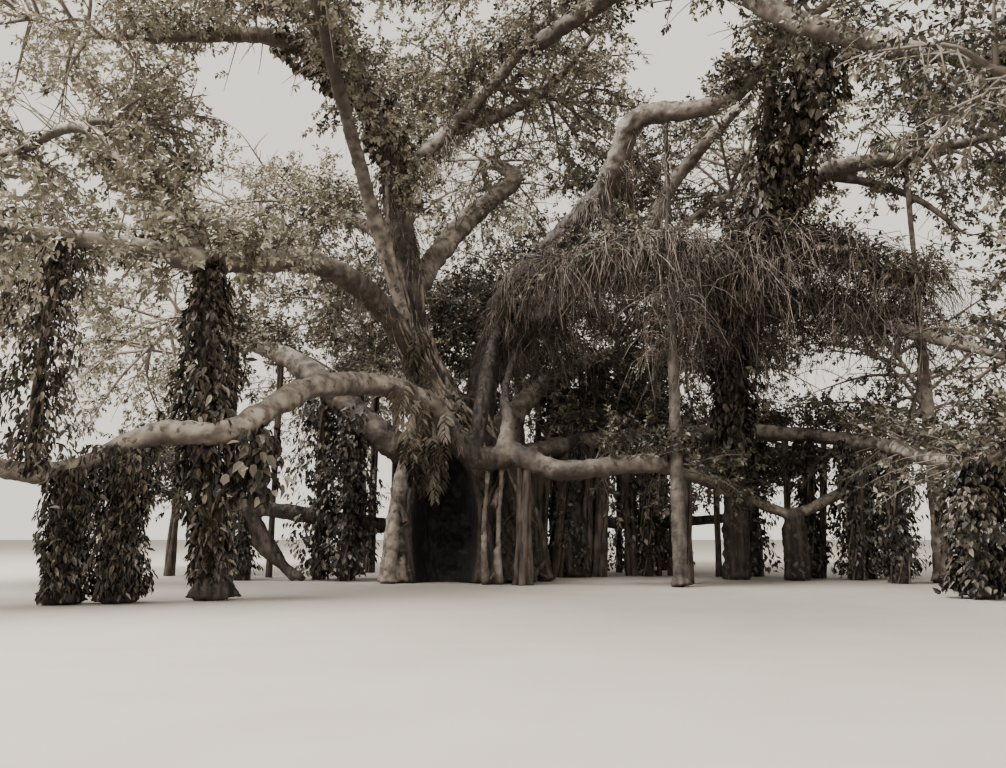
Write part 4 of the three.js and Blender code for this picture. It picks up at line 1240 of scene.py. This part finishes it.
def leaf_turns(directions, facings):
    """Quaternions that lay a leaf's length along a direction, its face to another."""
    ahead = unit(directions)
    across = unit(np.cross(ahead, facings))
    over = np.cross(across, ahead)
    trace = [across[:, 0], ahead[:, 1], over[:, 2]]
    parts = [
        1 + trace[0] + trace[1] + trace[2], 1 + trace[0] - trace[1] - trace[2],
        1 - trace[0] + trace[1] - trace[2], 1 - trace[0] - trace[1] + trace[2]]
    w, x, y, z = [np.sqrt(np.maximum(part, 0)) / 2 for part in parts]
    x = np.copysign(x, ahead[:, 2] - over[:, 1])
    y = np.copysign(y, over[:, 0] - across[:, 2])
    z = np.copysign(z, across[:, 1] - ahead[:, 0])
    return np.stack([w, x, y, z], axis=1)


def leaf_piece(name, growing, shape, finishes, nodes):
    """All the leaves of a growth as one piece of joined blades."""
    roots, directions, facings, sizes, tones = [np.concatenate(part) for part in zip(*growing.leaves)]
    mesh = bpy.data.meshes.new(name)
    mesh.vertices.add(len(roots))
    mesh.vertices.foreach_set("co", roots.ravel())
    turns = leaf_turns(directions, facings)
    mesh.attributes.new("turn", "QUATERNION", "POINT").data.foreach_set("value", turns.ravel())
    mesh.attributes.new("size", "FLOAT", "POINT").data.foreach_set("value", sizes)
    mesh.attributes.new("tone", "INT", "POINT").data.foreach_set("value", tones.astype(np.int32))
    piece = stand(name, mesh)
    leafing.grow(piece, Leaf=shape, **dict(zip(["Deep", "Mid", "Light", "Pale"], finishes)))
    dress(piece, nodes)


twig_bark = Finish("twig_bark")
twig_colour = twig_bark.blend(twig_bark.mottle(0.4, 3), (0.10, 0.08, 0.065), (0.26, 0.22, 0.185))
twig_bark.wear(Base_Color=twig_colour, Roughness=0.8)


def twig_piece(name, paths, nodes):
    """All the twigs of a growth as one piece of thin tapering tubes."""
    piece = path_bundle(name, paths)
    tubes.grow(piece, Sides=3, Ends=False, Finish=twig_bark.material)
    dress(piece, nodes)


# How pale a mass is: its sprays take their tones by chance round this, 0 for the middle.
# The high left masses are pale partly as painted light, the sky's glow through them, and
# the inner masses low down are dark partly as painted shade.
MASS_LIGHTNESS = {
    "leaves_left_high": 2.4, "leaves_crown_left": 2.0, "leaves_crown_back": 1.6, "leaves_left": 1.8,
    "leaves_left_front": 1.2, "leaves_crown_left_front": 2.0, "inner_left": 2.3, "leaves_crown_top": 1.3,
    "leaves_left_back": 1.1, "leaves_back_left": 0.9, "leaves_crown_right": 0.6, "leaves_front": 1.3,
    "inner_back_left": 1.2, "inner_crown": 1.5, "inner_top": 1.5, "inner_slant": 0.6, "inner_middle": -0.4,
    "inner_low_right": -0.9, "inner_far_right": -0.7, "leaves_right": -0.2, "leaves_right_front": -0.1,
    "leaves_front_right": -0.2, "leaves_right_high": -0.1,
}
for group, nodes in FOLIAGE_GROUPS.items():
    growing = Growing()
    for node in nodes:
        grow_mass(growing, node, 100 + list(MASSES).index(node), MASS_LIGHTNESS.get(node, 0.0))
    leaf_piece(group, growing, small_leaf, tree_finishes, nodes)
    twig_piece(group.replace("foliage", "twigs"), growing.paths, nodes)
growing = Growing()
for number, name in enumerate(INNER_MASSES):
    grow_mass(growing, name, 200 + number, MASS_LIGHTNESS.get(name, 0.0))
leaf_piece("foliage_inner", growing, small_leaf, tree_finishes, [])
twig_piece("twigs_inner", growing.paths, [])


# Shoots along the boughs: short leafy twigs that spring from the bark itself, close
# together where the boughs run through leaves and sparse on the bare ones. Two thin
# woody ridges, from which the right side's thickest thatch of fibres hangs, bear some too.
RIDGES = {
    "ridge_front": (
        [(8.7, 0.0, 9.0), (9.6, -1.0, 10.2), (11.6, -1.5, 9.8), (13.6, -2.2, 8.6)],
        [0.1, 0.06, 0.03]),
    "ridge_left": (
        [(8.7, 0.0, 9.4), (7.6, -1.0, 10.0), (6.0, -1.8, 10.0), (4.4, -1.4, 9.8), (2.7, -0.2, 9.8)],
        [0.1, 0.07, 0.05]),
}
# For each limb: the stretch of its length that bears shoots, their number and how pale
# their leaves are; on the high left boughs that paleness is partly painted light
SHOOTS = {
    "left": {
        "bough_top_left": (0.35, 1.0, 120, 1.1), "bough_upper_left": (0.5, 1.0, 100, 1.4),
        "bough_riser_left": (0.1, 1.0, 90, 1.2), "bough_crown": (0.2, 1.0, 50, 0.9),
        "bough_crown_back": (0.3, 1.0, 50, 0.8), "bough_crown_left": (0.3, 1.0, 60, 1.1),
        "bough_crown_left_front": (0.3, 1.0, 40, 1.0), "bough_front": (0.4, 1.0, 40, 0.8),
        "bough_mid_left": (0.6, 1.0, 100, 0.3), "bough_under_left": (0.45, 1.0, 90, -0.2),
        "bough_back_left": (0.3, 1.0, 90, 0.2), "bough_back": (0.3, 1.0, 70, 0.0),
    },
    "right": {
        "bough_overhead_right": (0.0, 1.0, 90, -0.1), "bough_right_level": (0.5, 1.0, 14, 0.2),
        "stem_lean": (0.3, 1.0, 40, 0.3), "level_side": (0.2, 1.0, 16, 0.3),
        "slant_high": (0.1, 1.0, 16, 0.3),
        "ridge_front": (0.1, 1.0, 60, 0.1), "ridge_left": (0.2, 1.0, 70, 0.1),
        "bough_right_slant": (0.85, 1.0, 20, 0.2), "bough_right_arch": (0.8, 1.0, 50, 0.1),
        "bough_low_right_far": (0.08, 0.97, 330, -0.2), "bough_low_right": (0.4, 1.0, 80, -0.6),
        "bough_right_loop": (0.6, 1.0, 30, 0.0), "bough_right_droop": (0.0, 0.7, 60, 0.1),
        "stem_right": (0.4, 0.75, 60, 0.2), "bough_back_right": (0.25, 1.0, 110, -0.2),
    },
}
# Boughs whose near side is bare, so that their shoots point away from the open ground
BARE_FRONTS = ["bough_low_right_far", "bough_right_loop", "bough_right_droop"]
SHOOT_LENGTHS = (0.6, 1.7)
chance = np.random.default_rng(41)
for side, boughs in SHOOTS.items():
    growing = Growing()
    for bough, (start_share, end_share, count, lightness) in boughs.items():
        route, radii = RIDGES.get(bough) or limbs[bough]
        route = smooth_route(route, 201)
        shares = chance.uniform(start_share, end_share, count)
        places = np.minimum((shares * 200).astype(int), 198)
        forward = unit(route[places + 1] - route[places])
        sideways = side_ways(forward, chance.uniform(-0.6, math.pi + 0.6, count))
        width = tapered_at(radii, shares)
        headings = unit(sideways + forward * 0.4 + chance.normal(0, 0.25, (count, 3)))
        if bough in BARE_FRONTS:
            sideways[:, 1] = np.abs(sideways[:, 1])
            headings[:, 1] = np.abs(headings[:, 1])
        starts = route[places] + sideways * (width * 0.7)[:, None]
        lengths = chance.uniform(*SHOOT_LENGTHS, count)
        leafy_twigs(growing, starts, headings, lengths, chance, lightness=lightness)
    leaf_piece(f"shoots_{side}_foliage", growing, small_leaf, tree_finishes, [])
    twig_piece(f"shoots_{side}_twigs", growing.paths, [])


# Climbing plants: a broad-leaved vine that winds up the props, the second stem, the
# trunk and the leader, with stalked drooping leaves that overlap like shingles.
CLIMBER_TONES = {
    "climber_deep": (0.012, 0.009, 0.006), "climber_mid": (0.040, 0.033, 0.022),
    "climber_light": (0.12, 0.10, 0.077), "climber_pale": (0.33, 0.295, 0.24),
}
climber_finishes = leaf_finishes(CLIMBER_TONES, 0.5, 0.3, 0.4)
LEAVES_PER_BUNCH = 6
VINES_PER_SLEEVE = 5
VINE_RADIUS = 0.03
CLEAR_OF_GROUND = 0.08
SLEEVE_TONE_STEPS = [-0.1, 0.85, 1.8]
THINNEST_SLEEVE = 0.03


def sleeve(growing, route, radii, reach, count, leaf_length, random, lightness=0.0):
    """A sleeve of drooping leaves from a limb out to its reach, with the vines that carry them."""
    length = np.linalg.norm(np.diff(route, axis=0), axis=1).sum()
    bunches = count // LEAVES_PER_BUNCH
    count = bunches * LEAVES_PER_BUNCH
    shares = random.random(bunches).repeat(LEAVES_PER_BUNCH)
    shares = np.clip(shares + random.normal(0, 0.5 * leaf_length, count) / length, 0, 1)
    places = shares * (len(route) - 1)
    low = np.minimum(places.astype(int), len(route) - 2)
    centre = route[low] + (route[low + 1] - route[low]) * (places - low)[:, None]
    forward = unit(route[low + 1] - route[low])
    turns = random.uniform(0, 2 * math.pi, bunches).repeat(LEAVES_PER_BUNCH) + random.normal(0, 0.22, count)
    outward = level_directions(turns)
    outward = unit(outward - forward * (outward * forward).sum(axis=1)[:, None])
    width = tapered_at(radii, shares)
    lumpy = 1 + 0.4 * np.sin(shares * length * 2.1 + turns * 2) * np.cos(shares * length * 0.9 - turns)
    room = np.maximum(tapered_at(reach, shares) * lumpy - width - 0.6 * leaf_length, THINNEST_SLEEVE)
    outerness = random.uniform(0, 1.25, bunches).repeat(LEAVES_PER_BUNCH) ** 0.8
    outerness = outerness * random.uniform(0.8, 1, count)
    roots = centre + outward * (width + room * outerness)[:, None]
    direction = outward * 0.35 - UP * 0.8 + random.normal(0, 0.35, (count, 3))
    facing = outward + UP * 0.5 + random.normal(0, 0.3, (count, 3))
    sizes = leaf_length * random.uniform(0.6, 1.25, count)
    # Painted light and shade: leaves on the sleeve's outside are paler and those within darker
    shade = random.normal(lightness - 0.5, 0.9, count) + outerness * 1.1
    tones = np.digitize(shade, SLEEVE_TONE_STEPS)
    kept = roots[:, 2] + np.minimum(unit(direction)[:, 2], 0) * sizes > CLEAR_OF_GROUND
    growing.add_leaves(roots[kept], direction[kept], facing[kept], sizes[kept], tones[kept])
    for vine in range(VINES_PER_SLEEVE):
        share = np.linspace(0, 1, max(12, int(length * 4)))
        place = share * (len(route) - 1)
        axis = np.stack([np.interp(place, np.arange(len(route)), route[:, k]) for k in range(3)], axis=1)
        turn = vine * 1.3 + share * length * random.uniform(0.5, 1.1)
        off = tapered_at(radii, share) + 0.02
        ring = level_directions(turn) * off[:, None]
        growing.paths.append(((axis + ring)[None], np.full((1, len(share)), VINE_RADIUS)))


# For each limb: the stretch of its length, the sleeve's outer radius along it, and the
# leaves' number, length and paleness
NARROW_SLEEVES = [
    ("prop_1", (0.02, 1), [0.5, 0.5, 0.55, 0.66], 3600, 0.18, -0.3),
    ("prop_2", (0.02, 1), [0.52, 0.55, 0.66, 0.8], 4200, 0.18, -0.3),
    ("prop_3", (0.06, 1), [0.35, 0.5, 0.85, 0.85, 0.8, 0.6, 0.4], 3600, 0.25, 0.1),
    ("tie_root", (0.0, 1), [0.75, 0.95, 0.9, 0.7, 0.6], 2400, 0.19, 0.3),
]
BROAD_SLEEVES = [
    ("prop_8", (0, 1), [0.8, 0.85, 0.6], 3600, 0.18, -0.4),
    ("stem_right", (0.2, 0.57), [0.5, 1.0, 1.0], 2600, 0.25, -0.4),
    ("stem_right", (0.5, 0.72), [0.9, 1.1, 1.1], 1500, 0.28, 0.2),
    ("stem_lean", (0, 1), [1.1, 1.15, 1.1, 0.9], 2600, 0.28, 0.4),
    ("bough_top_left", (0.43, 0.78), [0.4, 1.0, 1.1, 0.7], 2000, 0.27, 0.9),
    ("tuft_root", (0, 1), [0.7, 0.9, 0.7], 420, 0.28, 0.3),
]
CLUMP_SLEEVES = [
    (f"clump_{bough}_{number}", (0, 1), [reach * 0.9, reach, reach * 0.8], leaves, 0.21, -0.4)
    for bough, clumps in CLUMPS.items() for number, (_, reach, leaves) in enumerate(clumps)]
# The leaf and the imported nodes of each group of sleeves
CLIMBER_GROUPS = {
    "left": (NARROW_SLEEVES, narrow_leaf, ["climber_prop_1", "climber_prop_2", "climber_prop_3"]),
    "right": (BROAD_SLEEVES, broad_leaf, ["climber_prop_8", "climber_stem_right"]),
    "back": (CLUMP_SLEEVES, small_leaf, []),
}
chance = np.random.default_rng(57)
for side, (sleeves, shape, nodes) in CLIMBER_GROUPS.items():
    growing = Growing()
    for limb, (first, last), reach, count, leaf_length, lightness in sleeves:
        route, radii = limbs[limb]
        part = smooth_route(route, 61)[round(first * 60):round(last * 60) + 1]
        girths = tapered_at(radii, np.linspace(first, last, 5))
        sleeve(growing, part, girths, reach, count, leaf_length, chance, lightness)
    leaf_piece(f"climber_{side}_leaves", growing, shape, climber_finishes, nodes)
    vines = path_bundle(f"climber_{side}_vines", growing.paths)
    tubes.grow(vines, Sides=4, Ends=True, Finish=twig_bark.material)
    dress(vines, nodes)

# On the trunk's front a climber hangs in fronds: leaves on both sides of a stalk. For
# each bunch of fronds: how far to the right it is, its height and its number of fronds.
FROND_BUNCHES = [
    (-1.4, 5.8, 9), (-1.35, 4.7, 10), (-1.2, 4.1, 9), (-0.85, 3.6, 7), (-0.7, 3.0, 4),
    (-1.3, 6.9, 9), (0.1, 5.3, 8), (-0.7, 5.4, 8),
]
LEAVES_PER_FROND = 13
FROND_LENGTH = 0.7
FROND_TONE_STEPS = [-0.2, 0.6, 1.4]
# The trunk's surface, on which the stalks sit, is looked for from this plane before it
BEFORE_TRUNK = -5.0
growing = Growing()
for east, height, count in FROND_BUNCHES:
    fronds = np.array([east, BEFORE_TRUNK, height]) + chance.normal(0, 1, (count, 3)) * (0.2, 0, 0.35)
    hits = [surface.ray_cast(Vector(frond), Vector((0, 1, 0)), 6.5)[0] for frond in fronds]
    fronds = np.array([hit for hit in hits if hit is not None])
    # The fronds are painted paler than the shade they hang in gives: partly painted light
    frond_tones = np.digitize(chance.normal(1.2, 0.8, len(fronds)), FROND_TONE_STEPS)
    spots = fronds.repeat(LEAVES_PER_FROND, axis=0)
    count = len(spots)
    down = np.tile(np.linspace(0, 1, LEAVES_PER_FROND), len(fronds))
    spots += np.stack([0 * down, -0.12 - 0.1 * down, -FROND_LENGTH * down], axis=1)
    sideways = np.tile(np.resize([-0.75, 0.75], LEAVES_PER_FROND), len(fronds)) * (1 - 0.6 * down)
    direction = np.stack([sideways, np.full(count, -0.25), np.full(count, -0.7)], axis=1)
    direction += chance.normal(0, 0.12, (count, 3))
    facing = np.array([0, -1, 0.7]) + chance.normal(0, 0.25, (count, 3))
    sizes = chance.uniform(0.25, 0.42, count) * (1.15 - 0.4 * down)
    growing.add_leaves(spots, direction, facing, sizes, frond_tones.repeat(LEAVES_PER_FROND))
leaf_piece("trunk_climber_leaves", growing, long_leaf, climber_finishes, [])


# Hanging air roots: dry brown fibres as thin as a finger that spring from the boughs in
# locks, spread a little and hang in tangled curtains without reaching the ground.
STRANDS_PER_LOCK = 9
STRAND_POINTS = 5
FIBRE_RADII = (0.009, 0.021)


def curtain(bundles, limb, stretch, locks, lengths, spread, rise, scatter, random):
    """Locks of fibres round a stretch of a limb, which start outwards and then hang down."""
    route, radii = RIDGES.get(limb) or limbs[limb]
    places = random.uniform(*stretch, locks)
    axis = smooth_route(route, 201)[np.minimum((places * 200).astype(int), 200)]
    turns = random.uniform(0, 2 * math.pi, locks)
    off = tapered_at(radii, places) * 0.6 + random.uniform(0, scatter, locks)
    lock_starts = axis + level_directions(turns) * off[:, None]
    lock_starts[:, 2] -= random.uniform(-0.2, 0.5, locks) * scatter
    lock_reach = random.uniform(*lengths, locks)
    lock_spread = random.uniform(*spread, locks)
    count = locks * STRANDS_PER_LOCK
    starts = lock_starts.repeat(STRANDS_PER_LOCK, axis=0) + random.normal(0, 0.09, (count, 3))
    turns = turns.repeat(STRANDS_PER_LOCK) + random.normal(0, 0.8, count)
    outward = level_directions(turns)
    reach = lock_reach.repeat(STRANDS_PER_LOCK) * random.uniform(0.55, 1.15, count)
    wide = lock_spread.repeat(STRANDS_PER_LOCK) * random.uniform(0.5, 1.4, count)
    away = outward * (reach * wide)[:, None] + UP * (rise * reach * random.uniform(0, 1.5, count))[:, None]
    share = np.linspace(0, 1, STRAND_POINTS)[None, :, None]
    line = starts[:, None] + away[:, None] * (1 - np.exp(-2.5 * share))
    lean = random.normal(0, 0.26, (count, 1, 3)) - UP
    line = line + lean * reach[:, None, None] * share ** 1.8
    line = line + random.normal(0, 0.055, line.shape) * reach[:, None, None] * share
    thick = random.uniform(*FIBRE_RADII, count)[:, None] * np.linspace(1, 0.4, STRAND_POINTS)[None]
    bundles.append((line, thick))


# For each limb: the stretch of its length, the number of locks, how long they are, how
# far they spread and rise for that length, how far from the limb they start, and the
# share of dark ones, whose darkness is partly painted shade within the thatch
CURTAINS = {
    "hanging_roots_middle": [
        ("bough_right_slant", (0.1, 0.7), 100, (0.9, 2.4), (0.2, 0.8), 0.2, 0.7, 0.7),
        ("bough_right_arch", (0.15, 0.55), 110, (0.5, 1.5), (0.05, 0.4), 0.0, 0.3, 0.6),
        ("bough_right_arch", (0.5, 0.66), 16, (0.6, 1.5), (0.1, 0.5), 0.0, 0.2, 0.3),
        ("prop_5", (0.46, 0.75), 40, (0.7, 1.5), (0.4, 1.1), 0.3, 0.6, 0.7),
        ("prop_5", (0.7, 1.0), 8, (0.8, 1.8), (0.02, 0.2), 0.0, 0.1, 0.6),
        ("ridge_left", (0.1, 1.0), 190, (0.7, 2.1), (0.4, 1.2), 0.3, 0.7, 0.35),
    ],
    "hanging_roots_right": [
        ("bough_right_droop", (0.0, 0.7), 90, (0.7, 2.0), (0.5, 1.2), 0.45, 0.7, 0.6),
        ("ridge_front", (0.0, 1.0), 160, (0.8, 2.4), (0.5, 1.3), 0.35, 0.6, 0.3),
        ("stem_right", (0.44, 0.66), 110, (0.8, 2.3), (0.5, 1.3), 0.5, 0.8, 0.5),
        ("bough_right_level", (0.0, 0.45), 16, (0.7, 1.8), (0.1, 0.6), 0.1, 0.3, 0.5),
        ("prop_7", (0.5, 0.8), 20, (0.7, 1.8), (0.2, 0.8), 0.3, 0.4, 0.4),
    ],
    "hanging_roots_leader": [
        ("bough_top_left", (0.3, 0.62), 44, (0.8, 2.4), (0.05, 0.3), 0.0, 0.2, 0.3),
        ("bough_upper_left", (0.05, 0.35), 14, (0.5, 1.4), (0.05, 0.25), 0.0, 0.1, 0.6),
        ("bough_low_right_far", (0.05, 0.3), 24, (0.8, 2.2), (0.05, 0.3), 0.0, 0.2, 0.8),
        ("bough_crown", (0.1, 0.5), 12, (0.8, 2.0), (0.05, 0.3), 0.0, 0.2, 0.3),
    ],
}
chance = np.random.default_rng(77)
for name, curtains in CURTAINS.items():
    # The dark locks are partly painted shade and the pale ones partly painted light
    for tone, finish in (("pale", pale_fibre), ("dark", dark_shaded_fibre)):
        bundles = []
        for limb, stretch, locks, *spread, dark_share in curtains:
            locks = round(locks * (dark_share if tone == "dark" else 1 - dark_share))
            curtain(bundles, limb, stretch, locks, *spread, chance)
            if limb in RIDGES and tone == "dark":
                route, radii = RIDGES[limb]
                bundles.append((smooth_route(route, 12)[None], tapered(radii, 12)[None]))
        hanging = path_bundle(f"{name}_{tone}", bundles)
        tubes.grow(hanging, Sides=3, Ends=False, Finish=finish)
        dress(hanging, [] if name == "hanging_roots_leader" else [name])

# The leaves' patterns have been copied into their pieces and are not pieces themselves
for pattern in (small_leaf, narrow_leaf, broad_leaf, long_leaf):
    bpy.data.objects.remove(pattern)


# Floor and light: a plain pale floor under a bright, soft, even sky, with one wide
# soft lamp high up before the tree.
FLOOR_REACH = 400
FLOOR_LEVEL = -0.002
floor_mesh = bpy.data.meshes.new("floor")
corners = [(-1, -1), (1, -1), (1, 1), (-1, 1)]
corners = [(x * FLOOR_REACH, y * FLOOR_REACH, FLOOR_LEVEL) for x, y in corners]
floor_mesh.from_pydata(corners, [], [(0, 1, 2, 3)])
floor_finish = Finish("floor")
floor_colour = floor_finish.blend(floor_finish.mottle(1.4, 8), (0.33, 0.30, 0.27), (0.41, 0.38, 0.345))
floor_mesh.materials.append(floor_finish.wear(Base_Color=floor_colour, Roughness=0.9))
floor = stand("floor", floor_mesh)

world = bpy.data.worlds.new("sky")
world.use_nodes = True
world.node_tree.nodes["Background"].inputs["Color"].default_value = (0.95, 0.885, 0.78, 1)
world.node_tree.nodes["Background"].inputs["Strength"].default_value = 1.4
bpy.context.scene.world = world

lamp_data = bpy.data.lights.new("lamp", "AREA")
lamp_data.shape = "DISK"
lamp_data.size = 40
lamp_data.energy = 150000
lamp_data.color = (1.0, 0.96, 0.9)
lamp = bpy.data.objects.new("lamp", lamp_data)
lamp.location = (-28, -14, 58)
lamp.rotation_euler = (Vector((0, 0, 6)) - lamp.location).to_track_quat("-Z", "Y").to_euler()
bpy.context.scene.collection.objects.link(lamp)
